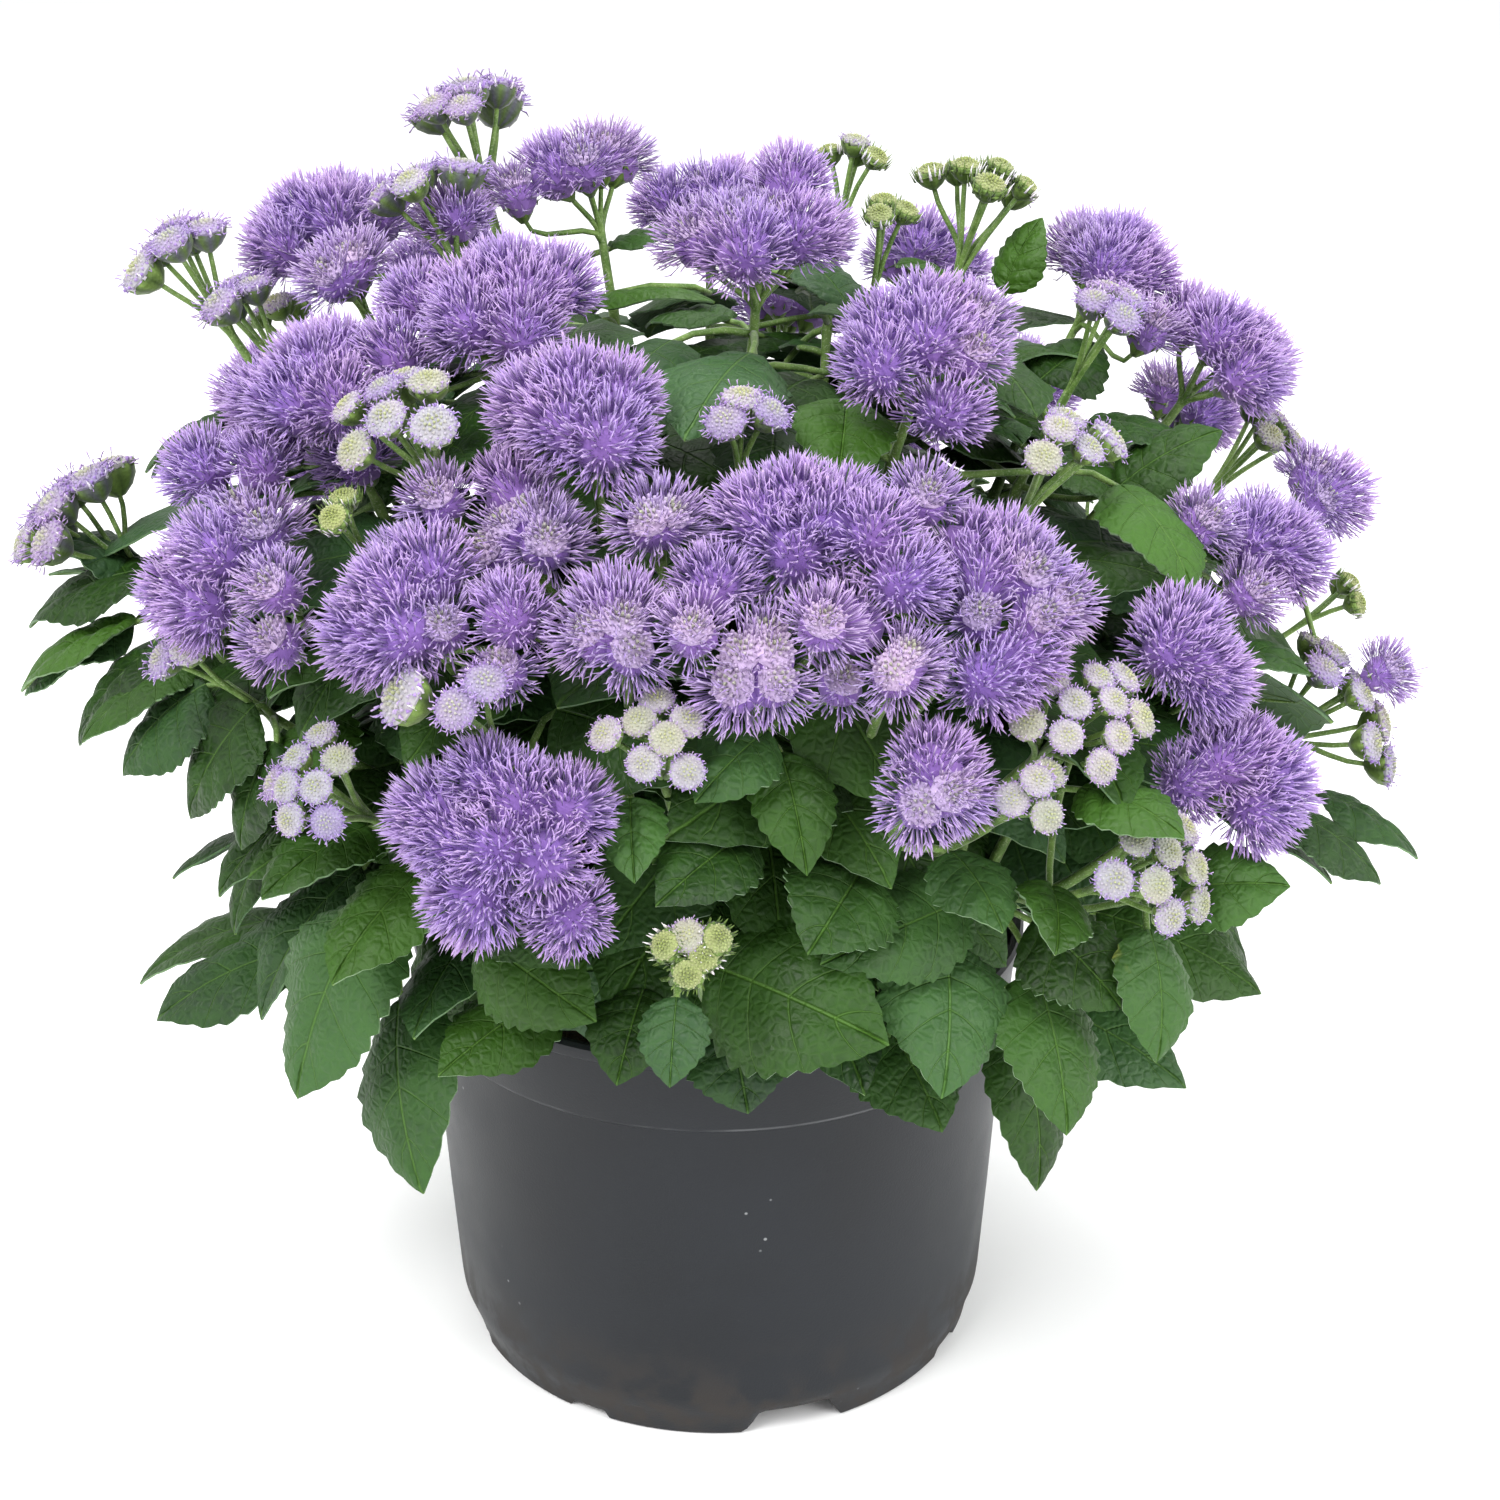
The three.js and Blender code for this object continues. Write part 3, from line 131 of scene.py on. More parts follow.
# Leaves: their shape, the knot that each grows from, and the small ones that fill the crown.
LEAF_ARCH = 0.06
LEAF_DROOP = 0.08
WIDEST_EASE = 0.56  # under 1: a blade is widest nearer its base
LEAST_OUTWARD = 0.5
LEAST_ONWARD = -0.4
TURN_COST = 1.5  # how much a leaf that has to turn counts as one that is further off
CROWN_MIDDLE = np.array((0.0, 0.0, 118.0))
CROWN_REACH = np.array((118.0, 104.0, 108.0))
FILL_WAYS = 440
FILL_TRIES = 6
FILL_TOP = 0.84
FILL_BOTTOM = -0.34
FILL_DEPTH = 0.84
FILL_LENGTH = 26
FILL_WIDTH = 0.58
FILL_YAW = 1.8
FILL_VARIES = 0.08
FILL_DROOP = (0.3, 0.5)
LONGER_BY = 8
LOW_LONGER_BY = 4
TRY_TURN = 0.12  # each further try for a leaf turns it and moves it in
TRY_DEPTH = 0.05
SHORTEST_PETIOLE = 8
LONGEST_PETIOLE = 44

# Spots that stand for a blade, a petiole, a head or a stalk where a new leaf has to keep clear.
KNOT_CLEARANCE = 4.5
BLADE_SPOT = 0.66
SPOT_CLEAR = 1.1
BLADE_SHARES = (0.05, 0.3, 0.55, 0.8, 1)
PETIOLE_SHARES = (0.12, 0.23, 0.34, 0.45, 0.56, 0.67, 0.78, 0.9)
PETIOLE_CLEAR = 1.2
RIM_CLEAR = 2
HEAD_CLEAR = (1.1, 1)
STALK_SPOTS = 25
STALK_CLEAR = 2.2

# Leaves inside the crown, which only the fine surface has.
INNER_WAYS = 620
INNER_LAYERS = (1.02, 0.86, 0.7)  # how far out, as shares of the outer leaves' depth
INNER_TOP = 0.95
INNER_SPACING = 12
INNER_GROWTH = 0.25
INNER_TURN = 0.6
SHORTEST_INNER = 4
ROOT_SHARES = np.linspace(0.3, 0.9, 9)  # where on a stalk they may grow
ROOT_LEAN = 0.5
ABOVE_BY = 4  # a place more than this far above its leaf counts as one far off
ABOVE_COST = 40
STRANGER_COST = 1000
SKIRT_RADIUS = 72  # how far out they reach at the rim, and how this grows with height
SKIRT_SLOPE = 0.85

# ---------------------------------------------------------------- driving sizes: fine surface

# Stalks: their radius at their foot and at their end.
STEM_THICKNESS = (1.8, 1.2)
BRANCH_THICKNESS = (1.15, 0.8)
PEDICEL_THICKNESS = (0.6, 0.46)
PETIOLE_THICKNESS = (0.75, 0.55)
KNOT_SWELL = 1.28
PEDICEL_SPREAD = 0.12  # share of a branch that the pedicels of buds leave from
PEDICEL_START = 6  # how far under a bloom its pedicels start
BUD_ENTRY = 0.8  # where a pedicel enters its head, in radii from the head's middle
POMPON_ENTRY = 0.7

# Heads.
THREAD_RADIUS = 0.17  # of a floret's thread at its stoutest
THREAD_KINDS = ((0, 0.92), (0, 0.86), (0.25, 0.8), (0.5, 0.74), (0.75, 0.68))  # bend, stoutest at
THREAD_REACH = (0.84, 1.05)
OPEN_THREADS = 470
HALF_OPEN_THREADS = 260
EYE_THREADS = 44
FRINGE_THREADS = {"lilac": 54, "white": 34, "cream": 20, "green": 0}
OPEN_ARC = (0, 106)  # degrees from a head's axis that its threads cover
HALF_OPEN_ARC = (30, 102)
EYE_ARC = (8, 34)
FRINGE_ARC = (56, 90)
EYE_FLORETS = 40
BUD_FLORETS = 72
GREEN_BUD_FLORETS = 60
HEART_VARIES = (0.92, 1.08)
FULL_HEAD = 9.1  # reach of a pompon's longest threads
HIDDEN_WITHIN = 0.72  # threads that end this deep in a neighbour are left out
YOUNG_SIZE = 0.92  # size of a half open pompon beside a full one
BUD_SWELL = 1.08
LILAC_SWELL = 1.32
LEAST_BUD = 2.8  # radius of the smallest bud head
ODD_BUDS = 0.3  # share of a cluster's buds that are riper or greener than the rest
FLORET = 0.36  # radius of a closed floret

# Blades.
BLADE_THICKNESS = 0.4
BLADE_SWELL = 1.12
BLADE_CREASE = 55
BLADE_FACING = (1.2, 0.85)  # how far a blade faces outwards, and upwards
INNER_FACING = (1.4, 0.7)
LARGE_GRID = (5, 3)  # columns in each half of a blade, and rows to a tooth
SMALL_GRID = (3, 3)
INNER_GRID = (2, 2)
FOLD = (0.12, 0.42)
CURL = (-0.03, 0.06)
WAVE = (0.05, 0.17)
# small and inner leaves keep only this share of their brightness: painted shade inside the crown
INNER_PAINTED_SHADE = 0.55
MOST_YELLOW = 0.7
OLD_BELOW = 125  # leaves that start lower may turn yellow
TOOTH_DEPTH = 0.11  # as a share of a blade's half width
ROW_EASE = 1.5
VEIN_PAIRS = 5
VEIN_SLANT = 0.1
QUILT = 0.6
MIDRIB = ((0.1, 0.5), (0.3, 0.4), (0.7, 0.2))  # shares along a blade, and radius there

SPIN = 6.28  # about a whole turn, for chance turns
SHADE = "shade"
STRAND = "strand"
UV_NAME = "UVMap"
CUP_SKIN, STEM_SKIN, UPPER_SKIN, UNDER_SKIN = range(1, 5)  # places in a piece's list of finishes

# ---------------------------------------------------------------- driving sizes: studio, in metres

FLOOR_SIZE = 30
LAMPS = (  # name, place, width, power
    ("key", (-0.7, -1.0, 1.5), 0.7, 25),
    ("fill", (1.2, -0.9, 0.9), 0.9, 16),
    ("top", (0.1, 0.5, 1.7), 0.9, 14),
)
LAMPS_AIM = (0, 0, 0.13)
SENSOR = 36  # in millimetres, as the lens
LENS = 55.2
CAMERA_AT = (0.0063, -0.4116, 0.2934)
CAMERA_PITCH = 67.33


# ---------------------------------------------------------------- layout tables

def bloom(name, x, y, z, across, along, count, half_open=0.25):
    """A cluster of open pompons: its middle, half spread both ways, number, share half open."""
    return {"name": name, "open": True, "at": np.array((x, y, z), float), "across": across,
            "along": along, "count": count, "look": half_open}


def buds(name, x, y, z, across, along, count, look="white"):
    """A cluster of closed or barely open heads, in the same terms, with their ripeness."""
    return {"name": name, "open": False, "at": np.array((x, y, z), float), "across": across,
            "along": along, "count": count, "look": look}


def leaf(bx, by, bz, tx, ty, tz, width):
    """A large leaf: where the blade starts, where its tip is, and its width."""
    return {"base": np.array((bx, by, bz), float), "tip": np.array((tx, ty, tz), float),
            "width": width, "large": True}


SHOOTS = [
    ("crown_back", [
        bloom("crown_back", -72, 14, 219, 14, 10, 8, 0.25),
        bloom("crown_middle", -64, -12, 217, 5, 5, 3, 0.7),
        buds("crown_edge", -97, 2, 218, 9, 6, 6, "lilac"),
        buds("crown_side", -84, -8, 211, 9, 3, 4, "lilac"),
    ], [leaf(-86, -2, 188, -104, -6, 179, 13)]),
    ("crown_front", [
        bloom("crown_left", -67, -37, 202, 10, 10, 7, 0.1),
        bloom("crown_top", -35, -32, 215, 9, 12, 8, 0.1),
        buds("crown_white", -49, -58, 204, 11, 8, 7, "white"),
    ], []),
    ("summit", [
        buds("summit", -46, 18, 241, 14, 6, 7, "lilac"),
        bloom("summit", -23, 20, 230, 10, 4, 5, 0.8),
        buds("crown_peak", -50, -6, 231, 5, 7, 4, "lilac"),
    ], [leaf(-23, 12, 206, 0, 4, 207, 9), leaf(-20, 22, 214, -6, 30, 216, 12)]),
    ("front_middle", [
        bloom("middle_high", -20, -63, 205, 9, 8, 5, 0.0),
        bloom("middle_back", -28, -71, 187, 9, 4, 4, 0.2),
        bloom("middle_small", -8, -76, 191, 2, 2, 2, 1.0),
    ], []),
    ("front_left", [
        bloom("left_front", -46, -80, 178, 8, 11, 6, 0.3),
        buds("left_low_white", -62, -87, 152, 7, 7, 8, "white"),
        buds("left_half", -37, -94, 169, 8, 3, 3, "lilac"),
    ], [
        leaf(-58, -60, 118, -70, -74, 88, 26), leaf(-46, -70, 130, -60, -89, 118, 17),
        leaf(-57, -64, 134, -72, -80, 128, 15), leaf(-62, -58, 163, -70, -72, 160, 9),
        leaf(-38, -74, 119, -18, -90, 112, 17),
    ]),
    ("left_side", [
        bloom("left_outer", -79, -56, 180, 8, 13, 7, 0.6),
        buds("left_under", -88, -60, 164, 4, 2, 2, "lilac"),
        buds("left_green", -59, -67, 190, 3, 2, 2, "green"),
    ], [leaf(-64, -52, 150, -70, -71, 138, 18)]),
    ("left_far", [
        buds("left_far", -120, -6, 171, 10, 11, 8, "lilac"),
    ], [
        leaf(-104, -20, 155, -125, -25, 143, 16), leaf(-104, 4, 152, -125, -2, 158, 15),
        leaf(-101, 6, 162, -102, 14, 171, 8), leaf(-92, -34, 152, -108, -48, 143, 17),
    ]),
    ("front_low", [
        bloom("front_round", -31, -99, 149, 12, 12, 8, 0.0),
        buds("front_white", -8, -98, 164, 7, 5, 7, "white"),
        bloom("front_small", -14, -89, 177, 5, 4, 4, 0.8),
    ], [
        leaf(-27, -66, 104, -45, -84, 98, 15),
        leaf(6, -84, 142, -8, -101, 138, 14), leaf(-12, -88, 150, -11, -101, 142, 10),
    ]),
    ("centre_right", [
        bloom("centre_high", 15, -76, 190, 8, 7, 5, 0.1),
        bloom("centre_half", 8, -93, 174, 5, 5, 5, 0.9),
        buds("centre_dark", 5, -62, 204, 3, 3, 3, "lilac"),
    ], [leaf(11, -84, 156, 15, -98, 142, 12), leaf(9, -85, 160, -2, -99, 154, 12)]),
    ("right_front", [
        bloom("right_front", 46, -77, 180, 10, 11, 8, 0.4),
        bloom("right_small", 29, -92, 173, 2, 2, 2, 1.0),
        buds("right_near", 50, -95, 154, 3, 4, 4, "cream"),
    ], []),
    ("top_middle", [
        bloom("top_middle", 8, -24, 225, 12, 8, 7, 0.2),
        buds("top_green", 31, -5, 226, 5, 3, 4, "green"),
    ], [leaf(3, 0, 205, -13, 9, 202, 15), leaf(24, 5, 206, 16, 22, 211, 13)]),
    ("top_right", [
        bloom("top_right", 36, -46, 213, 14, 8, 7, 0.35),
        buds("top_right", 57, -55, 198, 9, 4, 5, "white"),
    ], [leaf(22, -44, 201, 20, -62, 192, 15), leaf(67, -44, 187, 78, -60, 174, 18)]),
    ("back_peak", [
        buds("peak_green", 25, 22, 232, 5, 2, 4, "green"),
        buds("peak_mixed", 50, 18, 228, 9, 9, 8, "green"),
    ], [leaf(45, 5, 209, 32, -5, 216, 10), leaf(53, 10, 208, 60, 14, 221, 10)]),
    ("right_top", [
        bloom("right_top", 73, 16, 213, 12, 6, 6, 0.1),
        bloom("right_shoulder", 93, 4, 200, 10, 10, 6, 0.2),
        buds("right_top", 70, -14, 211, 10, 3, 5, "lilac"),
    ], [leaf(70, -28, 182, 88, -24, 191, 14)]),
    ("right_side", [
        bloom("right_side", 96, -34, 174, 10, 5, 5, 0.6),
        bloom("right_behind", 110, -8, 176, 3, 5, 3, 0.5),
        buds("right_edge", 104, 10, 183, 7, 5, 5, "white"),
        buds("right_far", 114, -29, 143, 9, 13, 9, "white"),
        buds("right_green", 118, -4, 155, 3, 2, 3, "green"),
    ], [leaf(108, -34, 127, 125, -42, 118, 13), leaf(83, -48, 160, 99, -56, 158, 12)]),
    ("right_low", [
        bloom("right_tall", 76, -67, 167, 3, 8, 4, 0.0),
        bloom("right_low", 88, -69, 145, 6, 8, 5, 0.0),
        buds("right_white", 59, -85, 163, 10, 8, 10, "cream"),
        buds("right_low_white", 70, -90, 139, 9, 8, 8, "cream"),
    ], [
        leaf(71, -77, 122, 72, -89, 104, 15), leaf(75, -74, 127, 93, -80, 131, 15),
        leaf(58, -82, 149, 72, -96, 147, 13), leaf(53, -75, 113, 57, -92, 92, 18),
        leaf(54, -82, 132, 53, -98, 128, 12.5),
    ]),
    ("right_near", [
        bloom("right_near", 34, -97, 156, 4, 5, 4, 0.8),
    ], [
        leaf(38, -82, 138, 45, -98, 132, 13), leaf(38, -77, 120, 37, -95, 101, 20),
        leaf(24, -80, 134, 15, -96, 127, 18),
        leaf(42, -76, 127, 17, -90, 122, 17), leaf(52, -63, 96, 56, -76, 71, 15),
        leaf(29, -60, 96, 39, -75, 82, 19),
    ]),
    ("front_young", [
        buds("front_young", -2, -106, 133, 3, 3, 5, "green"),
    ], [
        leaf(0, -84, 119, 28, -99, 113, 24), leaf(-11, -79, 112, -15, -93, 102, 14),
        leaf(-5, -98, 121, -6, -105, 109, 10), leaf(3, -62, 96, 6, -72, 84, 17),
    ]),
    ("back_left", [
        bloom("back_left_top", -54, 50, 207, 9, 8, 6, 0.2),
        bloom("back_left_side", -90, 44, 182, 8, 8, 5, 0.3),
        buds("back_left", -84, 24, 202, 7, 4, 4, "white"),
    ], []),
    ("back_top", [
        bloom("back_top", -2, 56, 217, 10, 7, 6, 0.2),
        bloom("back_high", 14, 90, 189, 9, 8, 6, 0.3),
        bloom("back_right_top", 43, 62, 205, 8, 8, 5, 0.3),
    ], []),
    ("back_low", [
        bloom("back_middle", -42, 84, 186, 9, 8, 6, 0.2),
        bloom("back_left_low", -82, 76, 158, 8, 8, 5, 0.3),
        bloom("back_round", -26, 99, 158, 10, 10, 7, 0.1),
        buds("back_low", -56, 96, 158, 7, 6, 5, "cream"),
    ], []),
    ("back_right", [
        bloom("back_right", 64, 82, 175, 9, 8, 6, 0.2),
        bloom("back_right_low", 34, 98, 156, 9, 9, 6, 0.3),
        bloom("back_right_side", 96, 50, 176, 8, 8, 5, 0.2),
        buds("back_right", 88, 78, 152, 8, 7, 6, "white"),
    ], []),
]


# Pompons that join neighbouring clusters into one mass, by the cluster they belong to.
JOINING = {
    "crown_top": [(-52, -36, 207), (-49, -28, 214)],
    "crown_back": [(-46, -2, 224)],
    "crown_left": [(-74, -29, 191), (-60, -36, 190)],
    "summit": [(-36, 12, 226)],
    "left_outer": [(-84, -44, 190), (-74, -46, 191), (-68, -70, 178), (-68, -72, 170)],
    "middle_back": [(-42, -66, 191), (-31, -64, 192)],
    "left_front": [(-30, -84, 178), (-31, -87, 171)],
    "centre_high": [(1, -84, 183), (22, -86, 178), (25, -80, 190)],
    "centre_half": [(20, -90, 170), (17, -93, 180), (-2, -93, 179)],
    "right_front": [(29, -84, 184), (33, -72, 193), (42, -88, 170)],
    "right_side": [(82, -42, 180), (90, -46, 169)],
    "right_top": [(78, -2, 204)],
    "right_behind": [(119, -30, 149)],
    "right_low": [(77, -72, 146)],
    "front_round": [(-21, -103, 138)],
    "top_middle": [(13, -16, 232)],
    "top_right": [(37, -55, 203)],
}

# Broad leaves that only the fine surface has, by shoot.
BROAD_LEAVES = {
    "left_far": [
        leaf(-106, -15, 153, -126, -22, 142, 21), leaf(-100, -28, 152, -112, -36, 137, 22),
        leaf(-106, -6, 160, -124, -6, 166, 14), leaf(-100, -12, 162, -127, -12, 152, 22),
    ],
    "left_side": [
        leaf(-87, -42, 151, -102, -48, 137, 24), leaf(-76, -54, 152, -88, -58, 133, 21),
        leaf(-72, -60, 148, -78, -66, 131, 15),
    ],
    "crown_back": [
        leaf(-87, -8, 190, -101, -12, 179, 15), leaf(-58, -14, 186, -80, -24, 192, 22),
        leaf(-50, -20, 182, -68, -38, 186, 20),
    ],
    "right_top": [
        leaf(66, -14, 190, 84, -18, 186, 17), leaf(60, -22, 186, 74, -32, 176, 18),
        leaf(58, -8, 196, 70, 2, 200, 15), leaf(78, -22, 180, 90, -34, 168, 18),
    ],
    "right_side": [leaf(100, -44, 128, 116, -52, 118, 16)],
    "right_near": [leaf(52, -78, 124, 66, -86, 112, 18)],
}


# ---------------------------------------------------------------- layout: small helpers

def unit(way):
    return way / np.linalg.norm(way)


def chance(i, k):
    """A repeatable number from 0 to 1 for the i-th thing and its k-th choice."""
    raw = math.sin(i * 12.9898 + k * 78.233) * 43758.5453
    return raw - math.floor(raw)


def ring(at, axis, toward, radius, count):
    """Points about a place, square to an axis and starting towards a side."""
    first = unit(toward - axis * (toward @ axis))
    second = np.cross(axis, first)
    turns = [2 * math.pi * k / count for k in range(count)]
    return [at + radius * (math.cos(turn) * first + math.sin(turn) * second) for turn in turns]


class Sweep:
    """A cubic curve through space."""

    def __init__(self, *points):
        self.points = points

    def at(self, share):
        rest = 1 - share
        a, b, c, d = self.points
        return rest**3 * a + 3 * rest**2 * share * b + 3 * rest * share**2 * c + share**3 * d

    def way(self, share):
        step = 1e-4
        return unit(self.at(min(1, share + step)) - self.at(max(0, share - step)))


class Stalk:
    """A stem or branch along a curve, with its knots and the turn of its sides."""

    def __init__(self, curve, sides, knots, toward, forked=False, collar=None):
        self.curve = curve
        self.sides = sides
        self.knots = knots
        half = KNOT_HALF / np.linalg.norm(curve.at(0) - curve.at(1))
        start = [0] if collar is None else [0, collar]
        fork = [1 - 2 * half] if forked else []
        self.stops = start + [share + way for share in knots for way in (-half, half)] + fork + [1]
        self.first_knot = len(start)
        self.towards = []
        for stop in self.stops:
            axis = curve.way(stop)
            last = self.towards[-1] if self.towards else toward
            self.towards.append(unit(last - axis * (last @ axis)))

    def ring(self, level, radius):
        stop = self.stops[level]
        return ring(self.curve.at(stop), self.curve.way(stop), self.towards[level], radius, self.sides)


# ---------------------------------------------------------------- layout: shoots

def bearings(at):
    """The way a cluster faces, and its own across and rise directions."""
    facing = unit(unit(at - HEART) + UPWARD_PULL * UP)
    right = unit(np.cross(UP, facing))
    return facing, right, np.cross(facing, right)


def heads_of(cluster, seed):
    """Heads of a cluster on a sunflower spiral, each leaning out from the middle."""
    facing, right, rise = bearings(cluster["at"])
    room = 0 if cluster["open"] else BUD_ROOM
    across, along, count = cluster["across"] + room, cluster["along"] + room, cluster["count"]
    spread = (across + along) / 2
    heads = []
    for k in range(count):
        share = math.sqrt((k + 0.5) / count)
        turn = k * GOLDEN_ANGLE + seed
        sideways = (across * share * math.cos(turn)) * right + (along * share * math.sin(turn)) * rise
        depth = HEAD_DOME * spread * (share * share - 0.5) + HEAD_STAGGER * (chance(seed, k) - 0.5)
        size = OPEN_HEAD if cluster["open"] else BUD_HEAD
        size *= HEAD_SIZES[0] + HEAD_SIZES[1] * chance(seed, k + 40)
        heads.append({
            "at": cluster["at"] + sideways - depth * facing,
            "axis": unit(facing + sideways * (HEAD_LEAN / spread)),
            "size": size,
        })
    if not cluster["open"]:
        places = np.array([head["at"] for head in heads])
        for k, head in enumerate(heads):
            apart = np.linalg.norm(np.delete(places, k, axis=0) - head["at"], axis=1)
            head["size"] = min(head["size"], 0.5 * apart.min() - HEAD_GAP)
    return heads


def neck_of(cluster):
    """Where a cluster's pedicels part from its branch."""
    stalk = BLOOM_STALK if cluster["open"] else BUD_STALK
    return cluster["at"] - stalk * bearings(cluster["at"])[0]


def branch_end(cluster):
    """Where a cluster's branch ends: at the foot of a bloom, or just below the neck of buds."""
    facing = bearings(cluster["at"])[0]
    if cluster["open"]:
        foot = BLOOM_CORE + BLOOM_FOOT * math.cos(math.radians(FOOT_ANGLE)) + SEAT
        return cluster["at"] - foot * facing
    return neck_of(cluster) - NECK_TAPER * facing


def branch_of(start, out, cluster, toward, lead):
    """A branch that leaves the fork outwards and sweeps round to its cluster's own way."""
    end = branch_end(cluster)
    reach = np.linalg.norm(start - end)
    leaving = unit(unit(end - start) + OUTWARD * out)
    curve = Sweep(start, start + LEAVE * reach * leaving,
                  end - SWEEP * reach * bearings(cluster["at"])[0], end)
    count = max(1, math.floor(reach / KNOT_SPACING + 0.5))
    knots = [(k + FIRST_KNOT) / (count + SPARE_LENGTH) for k in range(count)]
    sharp = unit(curve.at(knots[0]) - start) @ out < SHARP
    collar = COLLAR / reach if sharp and not lead else None
    return Stalk(curve, BRANCH_SIDES, knots, toward, collar=collar)


def lay_out(index, name, clusters, leaves):
    """A shoot: its stem, its branches to each cluster, and the clusters' heads."""
    middle = sum(neck_of(cluster) for cluster in clusters) / len(clusters)
    root = np.array((middle[0] * ROOT_SPREAD, middle[1] * ROOT_SPREAD, SOIL_HEIGHT - ROOT_DEPTH))
    fork = np.array((middle[0] * FORK_SPREAD, middle[1] * FORK_SPREAD,
                     SOIL_HEIGHT + (middle[2] - SOIL_HEIGHT) * FORK_RISE))
    low = np.array((root[0], root[1], SOIL_HEIGHT + STRAIGHT_FOOT))
    high = root + STEM_BEND[0] * (fork - root)
    high[2] = root[2] + STEM_BEND[1] * (fork[2] - root[2])
    curve = Sweep(root, low, high, fork)
    stem = Stalk(curve, STEM_SIDES, list(STEM_KNOTS), bearings(middle)[1], forked=True)
    level = len(stem.stops) - 2
    lower, upper = stem.ring(level, STEM_RADIUS), stem.ring(level + 1, STEM_RADIUS)
    faces = [(lower[side], lower[(side + 1) % STEM_SIDES], upper[side]) for side in range(STEM_SIDES)]
    ends = [branch_end(cluster) for cluster in clusters]
    onward = [unit(end - fork) @ curve.way(1) for end in ends]
    lead = int(np.argmax(onward))
    sides = {}
    while len(sides) < len(ends) - 1:
        _, k, side = max(
            ((sum(face) / 3 - fork) @ unit(end - fork), -k, -side)
            for k, end in enumerate(ends) for side, face in enumerate(faces)
            if k != lead and k not in sides and side not in sides.values())
        sides[-k] = -side
    branches = []
    for k, cluster in enumerate(clusters):
        if k == lead:
            branches.append(branch_of(fork, curve.way(1), cluster, upper[0] - fork, True))
            continue
        a, b, c = faces[sides[k]]
        start = (a + b + c) / 3
        branches.append(branch_of(start, unit(np.cross(b - a, c - a)), cluster, a - start, False))
    heads = [heads_of(cluster, index * 7 + k) for k, cluster in enumerate(clusters)]
    return {"name": name, "clusters": clusters, "stem": stem, "branches": branches, "heads": heads,
            "leaves": [dict(one) for one in leaves]}


# ---------------------------------------------------------------- layout: leaves

def half_width(share):
    """Half width of a blade along its length, as a share of its full width."""
    return 0.5 * math.sin(math.pi * share**WIDEST_EASE)


class Knots:
    """Every side of every knot of every shoot, where a leaf may grow."""

    def __init__(self, shoots):
        rows = []
        for owner, shoot in enumerate(shoots):
            for stalk in (shoot["stem"], *shoot["branches"]):
                for k, share in enumerate(stalk.knots):
                    at, axis = stalk.curve.at(share), stalk.curve.way(share)
                    toward = stalk.towards[2 * k + stalk.first_knot]
                    points = ring(at, axis, toward, 1, stalk.sides)
                    for side, point in enumerate(points):
                        following = points[(side + 1) % stalk.sides]
                        rows.append((at, unit((point + following) / 2 - at), owner, stalk))
        self.at = np.array([row[0] for row in rows])
        self.way = np.array([row[1] for row in rows])
        self.owner = np.array([row[2] for row in rows])
        self.stalk = [row[3] for row in rows]
        self.taken = np.zeros(len(rows), bool)

    def best(self, base, tip, least_outward, owner=None):
        """The free side that suits a leaf best: near, facing the leaf and behind its blade."""
        toward = base - self.at
        distance = np.linalg.norm(toward, axis=1)
        outward = (toward * self.way).sum(axis=1) / distance
        onward = toward @ unit(tip - base) / distance
        fits = ~self.taken & (outward > least_outward) & (onward > LEAST_ONWARD)
        if owner is not None:
            fits &= self.owner == owner
        cost = np.where(fits, distance * (TURN_COST - outward) * (TURN_COST - onward), np.inf)
        k = int(np.argmin(cost))
        return (k, distance[k]) if fits[k] else (None, math.inf)


def fill_leaf(k, attempt, ways=FILL_WAYS, top=FILL_TOP, layer=1.0):
    """The leaf tried in the k-th direction; each further try turns it and moves it a little."""
    height = top + (FILL_BOTTOM - top) * (k + 0.5) / ways
    turn = k * GOLDEN_ANGLE + TRY_TURN * attempt
    level = np.array((math.cos(turn), math.sin(turn), 0.0))
    out = level * math.sqrt(1 - height * height) + height * UP
    depth = FILL_DEPTH - TRY_DEPTH * attempt + FILL_VARIES * (chance(k, attempt) - 0.5)
    middle = out * CROWN_REACH * depth * layer + CROWN_MIDDLE
    droop = FILL_DROOP[0] + FILL_DROOP[1] * (1 - height) * chance(k, attempt + 10)
    yaw = turn + FILL_YAW * (chance(k, attempt + 20) - 0.5)
    ahead = unit(np.array((math.cos(yaw), math.sin(yaw), -droop)))
    length = FILL_LENGTH + LONGER_BY * chance(k, 30) + (LOW_LONGER_BY if height < 0 else 0)
    return {"base": middle - 0.45 * length * ahead, "tip": middle + 0.55 * length * ahead,
            "width": length * (FILL_WIDTH + FILL_VARIES * (chance(k, 31) - 0.5)), "large": False}


def blade_spots(spec):
    """Round spots that stand for a blade when leaves are kept clear of each other."""
    places = [spec["base"] + share * (spec["tip"] - spec["base"]) for share in BLADE_SHARES]
    reaches = [BLADE_SPOT * spec["width"] * half_width(share) + SPOT_CLEAR for share in BLADE_SHARES]
    return places, reaches


def petiole_spots(at, spec):
    """The same for its petiole."""
    places = [at + share * (spec["base"] - at) for share in PETIOLE_SHARES]
    return places, [PETIOLE_RADIUS + PETIOLE_CLEAR * SPOT_CLEAR] * len(places)


def all_clear(places, reaches, others, other_reaches):
    """Whether spots keep off the pot's rim, the soil and every other spot."""
    places, reaches = np.array(places), np.array(reaches)
    out = np.hypot(places[:, 0], places[:, 1])
    if not ((places[:, 2] > POT_HEIGHT + reaches) | (out > RIM_RADIUS + RIM_CLEAR + reaches)).all():
        return False
    apart = np.linalg.norm(places[:, None, :] - others[None, :, :], axis=2)
    return bool((apart > reaches[:, None] + other_reaches[None, :]).all())


